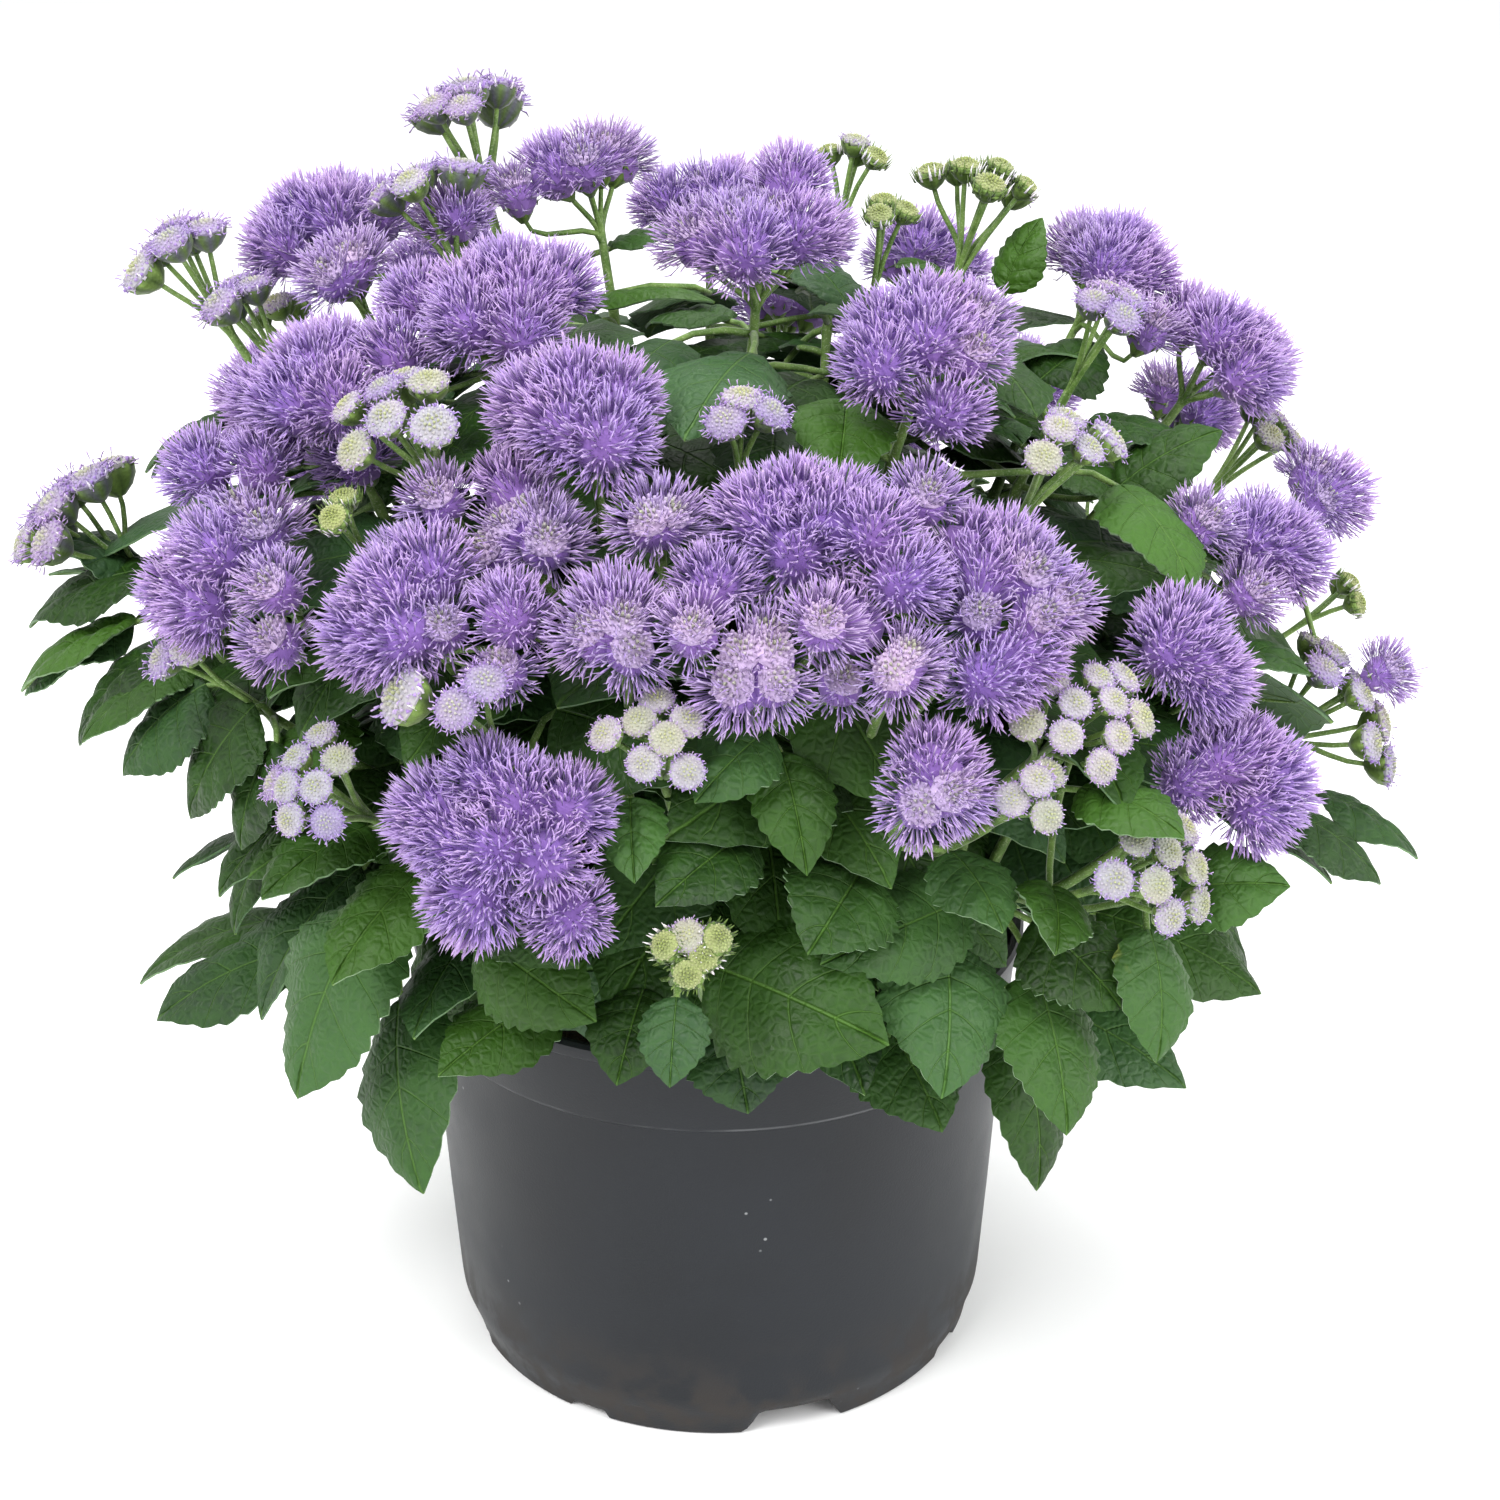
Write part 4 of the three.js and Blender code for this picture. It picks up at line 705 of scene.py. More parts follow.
def add_leaves(shoots):
    """Root the leaves of the table, then fill the crown with smaller ones where they come clear."""
    knots = Knots(shoots)
    places, reaches = [], []
    for owner, shoot in enumerate(shoots):
        for heads in shoot["heads"]:
            places += [head["at"] for head in heads]
            reaches += [HEAD_CLEAR[0] * head["size"] + HEAD_CLEAR[1] for head in heads]
        for spec in shoot["leaves"]:
            k, _ = knots.best(spec["base"], spec["tip"], 0, owner)
            knots.taken[k] = True
            spec["at"], spec["way"] = knots.at[k], knots.way[k]
            for spots in (blade_spots(spec), petiole_spots(spec["at"], spec)):
                places += spots[0]
                reaches += spots[1]
    stalks = [stalk for shoot in shoots for stalk in (shoot["stem"], *shoot["branches"])]
    shares = [k / (STALK_SPOTS - 1) for k in range(STALK_SPOTS)]
    stalk_at = np.array([stalk.curve.at(share) for stalk in stalks for share in shares])
    stalk_of = np.repeat(np.arange(len(stalks)), STALK_SPOTS)
    for k in range(FILL_WAYS):
        for attempt in range(FILL_TRIES):
            spec = fill_leaf(k, attempt)
            slot, distance = knots.best(spec["base"], spec["tip"], LEAST_OUTWARD)
            if distance < SHORTEST_PETIOLE or distance > LONGEST_PETIOLE:
                continue
            at = knots.at[slot]
            reach = np.linalg.norm(spec["tip"] - spec["base"])
            onward = unit(unit(spec["tip"] - spec["base"]) + unit(spec["base"] - at))
            spec["tip"] = spec["base"] + reach * onward
            blade, petiole = blade_spots(spec), petiole_spots(at, spec)
            own = stalks.index(knots.stalk[slot])
            far = (stalk_of != own) | (np.linalg.norm(stalk_at - at, axis=1) > KNOT_CLEARANCE)
            others = np.vstack([np.array(places), stalk_at[far]])
            other_reaches = np.concatenate([np.array(reaches), np.full(far.sum(), STALK_CLEAR)])
            if all_clear(blade[0] + petiole[0], blade[1] + petiole[1], others, other_reaches):
                knots.taken[slot] = True
                spec["at"], spec["way"] = at, knots.way[slot]
                shoots[knots.owner[slot]]["leaves"].append(spec)
                places += blade[0] + petiole[0]
                reaches += blade[1] + petiole[1]
                break


class Roots:
    """Places along every stem and branch where the leaves of the fine surface may grow."""

    def __init__(self, shoots):
        rows = [(owner, stalk.curve.at(share), stalk.curve.way(share))
                for owner, shoot in enumerate(shoots) for stalk in (shoot["stem"], *shoot["branches"])
                for share in ROOT_SHARES]
        self.owner = np.array([row[0] for row in rows])
        self.at = np.array([row[1] for row in rows])
        self.way = np.array([row[2] for row in rows])

    def grow(self, spec, owner=None):
        """Root a leaf at the nearest place, rather below its blade than above; its distance."""
        distance = np.linalg.norm(self.at - spec["base"], axis=1)
        cost = distance + ABOVE_COST * (self.at[:, 2] > spec["base"][2] + ABOVE_BY)
        if owner is not None:
            cost = cost + STRANGER_COST * (self.owner != owner)
        near = int(np.argmin(cost))
        outward = unit(spec["base"] - self.at[near])
        spec.update(at=self.at[near], way=unit(outward + ROOT_LEAN * self.way[near]), inner=True)
        return distance[near], int(self.owner[near])


def middle_of(spec):
    """The middle of a blade, nearer its base."""
    return 0.6 * spec["base"] + 0.4 * spec["tip"]


def add_inner_leaves(shoots):
    """More leaves inside the crown, which may lap over each other but keep off heads and pot."""
    roots = Roots(shoots)
    heads = [head for shoot in shoots for group in shoot["heads"] for head in group]
    head_at = np.array([head["at"] for head in heads])
    head_reach = np.array([head["size"] for head in heads])
    for owner, shoot in enumerate(shoots):
        for spec in BROAD_LEAVES.get(shoot["name"], ()):
            roots.grow(spec, owner)
            shoot["leaves"].append(spec)
    leaves = [spec for shoot in shoots for spec in shoot["leaves"]]
    middles = [middle_of(spec) for spec in leaves]
    for k in range(INNER_WAYS):
        for attempt in range(FILL_TRIES):
            spec = fill_leaf(k, attempt, INNER_WAYS, INNER_TOP, INNER_LAYERS[k % len(INNER_LAYERS)])
            distance, owner = roots.grow(spec)
            if distance > LONGEST_PETIOLE or distance < SHORTEST_INNER:
                continue
            grow = 1 + INNER_GROWTH * chance(k, 61)
            reach = grow * (spec["tip"] - spec["base"])
            way = unit(unit(reach) + INNER_TURN * unit(spec["base"] - spec["at"]))
            spec["tip"] = spec["base"] + np.linalg.norm(reach) * way
            spec["width"] *= grow
            out = math.hypot(*spec["tip"][:2])
            if out > SKIRT_RADIUS + SKIRT_SLOPE * max(0, spec["tip"][2] - POT_HEIGHT):
                continue
            middle = middle_of(spec)
            crowded = min(np.linalg.norm(np.array(middles) - middle, axis=1)) < INNER_SPACING
            if not crowded and all_clear(*blade_spots(spec), head_at, head_reach):
                shoots[owner]["leaves"].append(spec)
                middles.append(middle)
                break


# ---------------------------------------------------------------- colours and finishes

def paint(red, green, blue):
    """A colour given as a paint chart would, in linear light."""
    def linear(part):
        part /= 255
        return part / 12.92 if part <= 0.04045 else ((part + 0.055) / 1.055) ** 2.4
    return (linear(red), linear(green), linear(blue), 1.0)


def blend(one, other, share):
    return tuple(a + (b - a) * share for a, b in zip(one, other))


THREAD_DEEP = paint(136, 94, 190)
THREAD_MIDDLE = paint(170, 136, 212)
THREAD_PALE = paint(190, 170, 212)
HEART_FLOSS = paint(140, 108, 180)
EYE_LILAC = paint(200, 184, 214)
EYE_GREY = paint(176, 184, 156)
BUD_WHITE = paint(182, 178, 190)
BUD_LILAC = paint(154, 126, 192)
BUD_CREAM = paint(172, 182, 130)
BUD_GREEN = paint(146, 164, 84)
CUP_LIGHT = paint(118, 146, 70)
CUP_DARK = paint(72, 94, 42)
FLOSS = (THREAD_DEEP, THREAD_MIDDLE, THREAD_PALE)  # from a thread's root to its tip
YOUNG_FLOSS = (blend(THREAD_DEEP, THREAD_MIDDLE, 0.5), THREAD_MIDDLE, blend(THREAD_PALE, BUD_WHITE, 0.35))
BUD_COLOURS = {  # from the middle of a closed head to its edge
    "white": (BUD_CREAM, BUD_WHITE, BUD_LILAC),
    "cream": (BUD_CREAM, blend(BUD_CREAM, BUD_WHITE, 0.6), blend(BUD_WHITE, BUD_LILAC, 0.6)),
    "lilac": (EYE_GREY, blend(BUD_WHITE, BUD_LILAC, 0.6), BUD_LILAC),
    "green": (BUD_GREEN, blend(BUD_GREEN, BUD_CREAM, 0.6), BUD_CREAM),
}
GREENS = (CUP_LIGHT, CUP_DARK)  # of a cup's ribs and grooves
LILAC_GREENS = (blend(CUP_LIGHT, CUP_DARK, 0.6), blend(CUP_DARK, THREAD_DEEP, 0.25))
LEAF_DEEP = paint(17, 37, 10)
LEAF_MIDDLE = paint(37, 72, 15)
LEAF_LIGHT = paint(68, 108, 26)
# a grey-green that some leaves turn towards: partly their own hairy grey tone, partly a painted sheen
LEAF_GREY_TONE_AND_SHEEN = paint(60, 94, 62)
LEAF_VEIN = paint(88, 128, 48)
LEAF_UNDER = paint(88, 118, 84)
LEAF_UNDER_PALE = paint(132, 160, 116)
LEAF_YELLOW = paint(168, 164, 74)
LEAF_BROWN = paint(112, 84, 48)
STEM_GREEN = paint(80, 112, 46)
STEM_PALE = paint(118, 148, 74)
STEM_DOWN = paint(196, 208, 168)
POT_GREY = paint(19, 22, 27)
POT_WORN = paint(34, 38, 44)
POT_SPECK = paint(150, 152, 154)
POT_DUST = paint(70, 62, 54)
PEAT_DARK = paint(30, 22, 17)
PEAT_BROWN = paint(74, 54, 38)
PEAT_FIBRE = paint(120, 96, 66)
FLOOR_PALE = paint(251, 251, 251)
FLOOR_GREY = paint(248, 248, 248)
COOL_TINT = (0.93, 0.9, 1.0, 1)
WARM_TINT = (1.08, 1.0, 1.0, 1)
THREAD_DARK_TINT = (0.88, 0.85, 0.9, 1)
CUP_DARK_TINT = (0.7, 0.72, 0.62, 1)
DUST_HEIGHT = (4, 26)
SCORE_EDGE = (0.1, 0.4)


class Reading:
    """A node's output in plain sums: each sum adds its Math node."""

    def __init__(self, finish, output):
        self.finish = finish
        self.output = output

    def __add__(self, other):
        return self.finish.sum("ADD", self, other)

    def __radd__(self, other):
        return self.finish.sum("ADD", other, self)

    def __sub__(self, other):
        return self.finish.sum("SUBTRACT", self, other)

    def __rsub__(self, other):
        return self.finish.sum("SUBTRACT", other, self)

    def __mul__(self, other):
        return self.finish.sum("MULTIPLY", self, other)

    def __rmul__(self, other):
        return self.finish.sum("MULTIPLY", other, self)

    def __pow__(self, other):
        return self.finish.sum("POWER", self, other)

    def __abs__(self):
        return self.finish.sum("ABSOLUTE", self)


SOCKETS = {
    "sheen_weight": "Sheen Weight",
    "sheen_roughness": "Sheen Roughness",
    "specular": "Specular IOR Level",
}


class Finish:
    """A material under a maker's name, built up from readings."""

    def __init__(self, name, **constants):
        self.material = bpy.data.materials.new(name)
        self.material.use_nodes = True
        self.tree = self.material.node_tree
        self.shader = self.tree.nodes["Principled BSDF"]
        for socket, value in constants.items():
            self.shader.inputs[SOCKETS[socket]].default_value = value

    def feed(self, socket, value):
        if isinstance(value, Reading):
            self.tree.links.new(value.output, socket)
        else:
            socket.default_value = value

    def node(self, kind, settings=None, inputs=None, output=0):
        """Any node: its settings first, then its sockets."""
        made = self.tree.nodes.new(kind)
        for name, value in (settings or {}).items():
            setattr(made, name, value)
        for name, value in (inputs or {}).items():
            self.feed(made.inputs[name], value)
        return Reading(self, made.outputs[output])

    def sum(self, operation, *values):
        return self.node("ShaderNodeMath", {"operation": operation}, dict(enumerate(values)))

    def mix(self, share, one, other, way="MIX"):
        settings = {"data_type": "RGBA", "blend_type": way}
        return self.node("ShaderNodeMix", settings, {0: share, 6: one, 7: other}, 2)

    def tinted(self, colour, tint):
        return self.mix(1.0, colour, tint, "MULTIPLY")

    def place(self):
        return self.node("ShaderNodeTexCoord", output="Object")

    def noise(self, scale, detail=3, vector=None, roughness=0.55):
        inputs = {"Vector": vector or self.place(), "Scale": scale, "Detail": detail,
                  "Roughness": roughness}
        return self.node("ShaderNodeTexNoise", None, inputs)

    def cells(self, scale, feature="F1"):
        inputs = {"Vector": self.place(), "Scale": scale}
        return self.node("ShaderNodeTexVoronoi", {"feature": feature}, inputs)

    def patches(self, scale, detail, low, high):
        """Soft patches of noise, from 0 to 1."""
        return self.ease(self.noise(scale, detail), low, high)

    def ease(self, value, low, high, start=0.0, end=1.0):
        """The value's share of the way from low to high, eased, as a number from start to end."""
        inputs = {"Value": value, "From Min": low, "From Max": high, "To Min": start, "To Max": end}
        return self.node("ShaderNodeMapRange", {"interpolation_type": "SMOOTHSTEP"}, inputs)

    def shade(self):
        """The colour, or the three masks, that a piece carries in its own mesh."""
        return self.node("ShaderNodeAttribute", {"attribute_name": SHADE})

    def parts(self, vector):
        split = self.node("ShaderNodeSeparateXYZ", None, {0: vector})
        return [Reading(self, output) for output in split.output.node.outputs]

    def bump(self, height, depth, strength=1.0):
        """Relief of a depth in millimetres."""
        inputs = {"Height": height, "Distance": depth * MM, "Strength": strength}
        self.feed(self.shader.inputs["Normal"], self.node("ShaderNodeBump", None, inputs))

    def colour(self, value):
        self.feed(self.shader.inputs["Base Color"], value)

    def roughness(self, value):
        self.feed(self.shader.inputs["Roughness"], value)


def floret_finish():
    """Soft threads and closed florets, each with its own colour, varied from head to head."""
    finish = Finish("floss_florets", sheen_weight=0.25, sheen_roughness=0.5, specular=0.25)
    broad = finish.patches(70, 2, 0.3, 0.7)
    fine = finish.patches(900, 1, 0.25, 0.75)
    own = finish.shade()
    base = finish.mix(broad, finish.tinted(own, COOL_TINT), finish.tinted(own, WARM_TINT))
    finish.colour(finish.mix(fine, finish.tinted(base, THREAD_DARK_TINT), base))
    finish.roughness(0.62 + 0.14 * fine)
    finish.bump(finish.noise(2600, 1), 0.08)
    return finish.material


def cup_finish():
    """Green ribbed cups of the heads."""
    finish = Finish("green_cups", sheen_weight=0.2, sheen_roughness=0.4, specular=0.35)
    speckle = finish.patches(1400, 2, 0.3, 0.7)
    own = finish.shade()
    finish.colour(finish.mix(speckle, finish.tinted(own, CUP_DARK_TINT), own))
    finish.roughness(0.5 + 0.2 * speckle)
    finish.bump(finish.noise(2200, 2), 0.12)
    return finish.material


def stem_finish():
    """Downy pale green stems and petioles."""
    finish = Finish("downy_stems", sheen_weight=0.35, sheen_roughness=0.35, specular=0.35)
    streak = finish.patches(320, 3, 0.3, 0.7)
    down = finish.patches(3200, 1, 0.56, 0.7)
    green = finish.mix(streak, STEM_GREEN, STEM_PALE)
    finish.colour(finish.mix(down * 0.35, green, STEM_DOWN))
    finish.roughness(0.5 + 0.25 * down)
    finish.bump(finish.noise(2400, 2), 0.15)
    return finish.material


def veins(finish):
    """Masks of a blade's midrib and of its side veins, from its own lengthwise and across places."""
    across_place, along_place, _ = finish.parts(finish.node("ShaderNodeUVMap", {"uv_map": UV_NAME}))
    across = abs(across_place * 2 - 1)
    outline = finish.sum("SINE", along_place**0.84 * math.pi)
    midrib = finish.ease(across * outline, 0.008, 0.036, 1, 0)
    row = finish.sum("FRACT", (along_place - across * VEIN_SLANT) * VEIN_PAIRS + 0.5)
    thinning = finish.ease(across, 0.0, 1.0, 0.05, 0.018)
    side = finish.ease(abs(row - 0.5), 0.004, thinning, 1, 0)
    return midrib, side, across


def leaf_finish():
    """Upper face of a leaf: deep green, quilted between sunken veins, a little glossy."""
    finish = Finish("leaf_upper", specular=0.28)
    midrib, side, across = veins(finish)
    light, yellow, grey_tone_and_sheen = finish.parts(finish.shade())
    net = finish.ease(finish.cells(560, "DISTANCE_TO_EDGE"), 0.0, 0.3)
    cloud = finish.patches(90, 3, 0.3, 0.7)
    # the blade's brightness from its mesh, which on small and inner leaves carries painted shade
    green = finish.mix(cloud * 0.6 + light * 0.4, LEAF_DEEP, LEAF_MIDDLE)
    green = finish.mix(light * light * 0.6, green, LEAF_LIGHT)
    # some leaves turn grey-green: partly their own tone, partly a painted sheen
    green = finish.mix(grey_tone_and_sheen**3 * 0.5, green, LEAF_GREY_TONE_AND_SHEEN)
    green = finish.mix((1 - net) * 0.1, green, LEAF_LIGHT)
    aged = finish.ease(finish.noise(160, 3) + yellow * 0.9 + across**3 * 0.12, 1.12, 1.4)
    green = finish.mix(aged, green, LEAF_YELLOW)
    burnt = finish.ease(finish.noise(240, 2) + yellow * 0.55 + across**8 * 0.3, 1.2, 1.35)
    green = finish.mix(burnt, green, LEAF_BROWN)
    green = finish.mix(side * 0.3, green, LEAF_VEIN)
    finish.colour(finish.mix(midrib * 0.42, green, LEAF_VEIN))
    grain = finish.noise(1500, 2)
    finish.roughness(0.4 + 0.14 * cloud + 0.12 * grain)
    finish.bump(net * 0.3 + grain * 0.2 - side * 0.55 - midrib * 0.9, 0.6, 0.8)
    return finish.material


def underside_finish():
    """Under face of a leaf: pale, matt, with raised veins."""
    finish = Finish("leaf_under", specular=0.25, sheen_weight=0.15)
    midrib, side, _ = veins(finish)
    light, yellow, _ = finish.parts(finish.shade())
    net = finish.ease(finish.cells(430, "DISTANCE_TO_EDGE"), 0.0, 0.14)
    # the same brightness, with the painted shade of small and inner leaves
    green = finish.mix(light * 0.6, LEAF_UNDER, LEAF_UNDER_PALE)
    green = finish.mix(finish.ease(yellow, 0.6, 1.0), green, LEAF_YELLOW)
    green = finish.mix((1 - net) * 0.3, green, LEAF_VEIN)
    finish.colour(finish.mix(finish.sum("MAXIMUM", side * 0.5, midrib * 0.8), green, STEM_PALE))
    finish.roughness(0.6 + 0.15 * finish.noise(800, 2))
    finish.bump(side * 0.6 + midrib - net * 0.4, 0.3, 0.7)
    return finish.material


def pot_finish():
    """Anthracite moulded plastic with fine grain, scuffs, specks of lime and dust near the foot."""
    finish = Finish("pot_plastic", specular=0.32)
    place = finish.place()
    _, _, height = finish.parts(place)
    cloud = finish.patches(28, 4, 0.35, 0.7)
    stretched = finish.node("ShaderNodeMapping", None, {"Vector": place, "Scale": (1, 1, 9)})
    scuff = finish.ease(finish.noise(300, 4, stretched, 0.7), 0.62, 0.74)
    speck = finish.ease(finish.cells(260), 0.05, 0.11, 1, 0)
    rare = finish.patches(55, 2, 0.56, 0.66)
    low = finish.ease(height, DUST_HEIGHT[0] * MM, DUST_HEIGHT[1] * MM, 1, 0)
    dust = low * finish.patches(120, 5, 0.4, 0.62)
    grey = finish.mix(cloud * 0.35, POT_GREY, POT_WORN)
    grey = finish.mix(scuff * 0.25, grey, POT_WORN)
    grey = finish.mix(dust * 0.4, grey, POT_DUST)
    from_step = abs(height - STEP_HEIGHT * MM)
    score = finish.ease(from_step, SCORE_EDGE[0] * MM, SCORE_EDGE[1] * MM, 1, 0)
    grey = finish.mix(score * finish.patches(80, 2, 0.35, 0.7) * 0.24, grey, POT_SPECK)
    finish.colour(finish.mix(speck * rare * 0.7, grey, POT_SPECK))
    finish.roughness(0.4 + 0.12 * cloud + 0.15 * scuff + 0.25 * dust)
    grain = finish.noise(2400, 2)
    finish.bump(grain + scuff * 0.3 + speck * rare, 0.06, 0.6)
    return finish.material


def peat_finish():
    """Dark damp peat with lighter fibres."""
    finish = Finish("peat", specular=0.3)
    crumb = finish.ease(finish.noise(420, 5, roughness=0.7), 0.35, 0.68)
    fibre = finish.ease(finish.cells(520, "DISTANCE_TO_EDGE"), 0.0, 0.05, 1, 0)
    brown = finish.mix(crumb, PEAT_DARK, PEAT_BROWN)
    finish.colour(finish.mix(fibre * 0.25, brown, PEAT_FIBRE))
    finish.roughness(0.82 + 0.15 * crumb)
    finish.bump(crumb + fibre * 0.3, 0.8)
    return finish.material


def floor_finish():
    """The studio's matt white floor."""
    finish = Finish("pale_floor", specular=0.1)
    grain = finish.noise(60, 2)
    finish.colour(finish.mix(grain * 0.15, FLOOR_PALE, FLOOR_GREY))
    finish.roughness(0.9 - 0.05 * grain)
    return finish.material


# ---------------------------------------------------------------- mesh helpers

def to_shape(bm, name):
    """A finished mesh, which may be a shape kept for copies."""
    shape = bpy.data.meshes.new(name)
    bm.to_mesh(shape)
    bm.free()
    return shape


def absorb(bm, shape):
    """Add a shape as it lies, and drop it."""
    bm.from_mesh(shape)
    bpy.data.meshes.remove(shape)


def add_copy(bm, shape, matrix):
    """A copy of a shape, turned and placed; returns the vertices that it adds."""
    placed = shape.copy()
    placed.transform(matrix)
    first = len(bm.verts)
    absorb(bm, placed)
    bm.verts.ensure_lookup_table()
    return bm.verts[first:]


def add_cone(bm, sides, foot, top, height, matrix=Matrix()):
    """A capped cone about its own middle."""
    bmesh.ops.create_cone(bm, cap_ends=True, segments=sides, radius1=foot, radius2=top,
                          depth=height, matrix=matrix)


def top_faces(bm, level):
    return [face for face in bm.faces if face.calc_center_median().z > level]


def lift(bm, verts, height):
    bmesh.ops.translate(bm, vec=(0, 0, height), verts=verts)


def standing(at, axis, spin=0.0, scale=(1, 1, 1)):
    """The placing that stands a shape at a place with its axis along a direction."""
    turn = Vector(axis).to_track_quat("Z", "Y") @ Quaternion((0, 0, 1), spin)
    return Matrix.LocRotScale(Vector(at), turn, Vector(scale))


def shade_verts(bm, verts, colour):
    layer = bm.verts.layers.float_color[SHADE]
    for vert in verts:
        vert[layer] = colour


def new_plant_mesh():
    """An empty mesh with a plant piece's own colours, thread numbers and blade places."""
    bm = bmesh.new()
    bm.verts.layers.float_color.new(SHADE)
    bm.verts.layers.int.new(STRAND)
    bm.loops.layers.uv.new(UV_NAME)
    return bm


def lathe(bm, outline, steps):
    """A closed body turned from an outline that starts and ends on its axis."""
    points = [bm.verts.new((radius, 0, height)) for radius, height in outline]
    edges = [bm.edges.new(pair) for pair in zip(points, points[1:])]
    bmesh.ops.spin(bm, geom=points + edges, cent=(0, 0, 0), axis=(0, 0, 1), angle=2 * math.pi,
                   steps=steps, use_merge=True)
    bmesh.ops.remove_doubles(bm, verts=bm.verts[:], dist=1e-4)
    bmesh.ops.recalc_face_normals(bm, faces=bm.faces[:])


def smooth(bm, sharp_angle=None):
    """Round shading, but for edges that turn more than an angle in degrees."""
    for face in bm.faces:
        face.smooth = True
    if sharp_angle is not None:
        limit = math.radians(sharp_angle)
        for edge in bm.edges:
            if edge.is_manifold and edge.calc_face_angle() > limit:
                edge.smooth = False


def place_object(name, data):
    placed = bpy.data.objects.new(name, data)
    bpy.context.scene.collection.objects.link(placed)
    return placed


def finish_piece(name, bm, finishes, node):
    """The mesh as a piece in metres that stands for a node."""
    bmesh.ops.scale(bm, vec=(MM, MM, MM), verts=bm.verts[:])
    mesh = to_shape(bm, name)
    for material in finishes:
        mesh.materials.append(material)
    piece = place_object(name, mesh)
    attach(piece, "root")
    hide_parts(node)
    return piece


# ---------------------------------------------------------------- flower heads

def thread_shape(bend, stoutest, name):
    """A thread of unit length: three sides, pointed at both ends, straight or bent at its stoutest."""
    bm = bmesh.new()
    add_cone(bm, 3, 0, THREAD_RADIUS, stoutest)
    lift(bm, bm.verts[:], stoutest / 2)
    bmesh.ops.remove_doubles(bm, verts=bm.verts[:], dist=1e-5)
    tip = bmesh.ops.poke(bm, faces=top_faces(bm, 0.99 * stoutest))["verts"]
    bmesh.ops.translate(bm, vec=(-0.5 * bend, 0, 1 - stoutest), verts=tip)
    around = [vert for vert in bm.verts if 0.01 < vert.co.z < 0.99]
    bmesh.ops.translate(bm, vec=(bend, 0, 0), verts=around)
    smooth(bm)
    return to_shape(bm, name)


def floret_shape():
    """A closed floret: a stubby three-sided bead with a raised middle."""
    bm = bmesh.new()
    add_cone(bm, 3, FLORET, 0.85 * FLORET, 1)
    lift(bm, bmesh.ops.poke(bm, faces=top_faces(bm, 0.49))["verts"], 0.2)
    smooth(bm)
    return to_shape(bm, "closed_floret")


def bract_shape():
    """A narrow pointed bract, flat towards the head."""
    bm = bmesh.new()
    add_cone(bm, 3, 0.42, 0.06, 1)
    lift(bm, bm.verts[:], 0.5)
    bmesh.ops.scale(bm, vec=(0.5, 1, 1), verts=bm.verts[:])
    smooth(bm)
    return to_shape(bm, "bract")


THREADS = [thread_shape(*kind, f"thread_{k}") for k, kind in enumerate(THREAD_KINDS)]
CLOSED_FLORET = floret_shape()
BRACT = bract_shape()


def add_threads(bm, rng, count, arc, radius, root, rise, colours, waver, slim=1.0):
    """Threads that radiate from a small heart, over a range of angles from the axis."""
    high, low = (math.cos(math.radians(angle)) for angle in arc)
    layer = bm.verts.layers.float_color[SHADE]
    strands = bm.verts.layers.int[STRAND]
    strand = max((vert[strands] for vert in bm.verts), default=0)
    for k in range(count):
        height = high + (low - high) * (k + 0.5) / count
        turn = k * GOLDEN_ANGLE + rng.uniform(-0.2, 0.2)
        flat = math.sqrt(max(0.0, 1 - height * height))
        way = Vector((flat * math.cos(turn), flat * math.sin(turn), height))
        start = way * root + Vector((0, 0, rise))
        stray = Vector([rng.uniform(-waver, waver) for _ in range(3)])
        tip = (way + stray).normalized() * radius * rng.uniform(*THREAD_REACH)
        reach = tip - start
        stout = slim * rng.uniform(0.85, 1.15)
        matrix = standing(start, reach, rng.uniform(0, SPIN), (stout, stout, reach.length))
        tone = rng.uniform(-0.12, 0.12)
        added = add_copy(bm, rng.choice(THREADS), matrix)
        strand += 1
        for vert in added:
            vert[strands] = strand
            out = min(1.0, max(0.0, (vert.co - start).length / reach.length))
            share = min(1.0, max(0.0, out + tone))
            near, far = (colours[0], colours[1]) if share < 0.5 else (colours[1], colours[2])
            vert[layer] = blend(near, far, share * 2 % 1 if share < 1 else 1)


def add_eye(bm, rng, count, radius, height, rise, colours, size=1.0):
    """Closed florets on a low dome, from the middle colour out to the rim's."""
    for k in range(count):
        share = math.sqrt((k + 0.5) / count)
        turn = k * GOLDEN_ANGLE
        at = Vector((radius * share * math.cos(turn), radius * share * math.sin(turn),
                     rise + height * (1 - share * share)))
        way = Vector((at.x, at.y, radius * 1.2))
        stout = size * rng.uniform(0.88, 1.08)
        if share < 0.75:
            colour = blend(colours[0], colours[1], max(0, 2 * share - 0.4) / 1.1)
        else:
            colour = blend(colours[1], colours[2], 4 * share - 3)
        tone = rng.uniform(0.9, 1.06)
        matrix = standing(at, way, 2.4 * k, (stout, stout, 0.8 * stout))
        shade_verts(bm, add_copy(bm, CLOSED_FLORET, matrix), (*(part * tone for part in colour[:3]), 1))


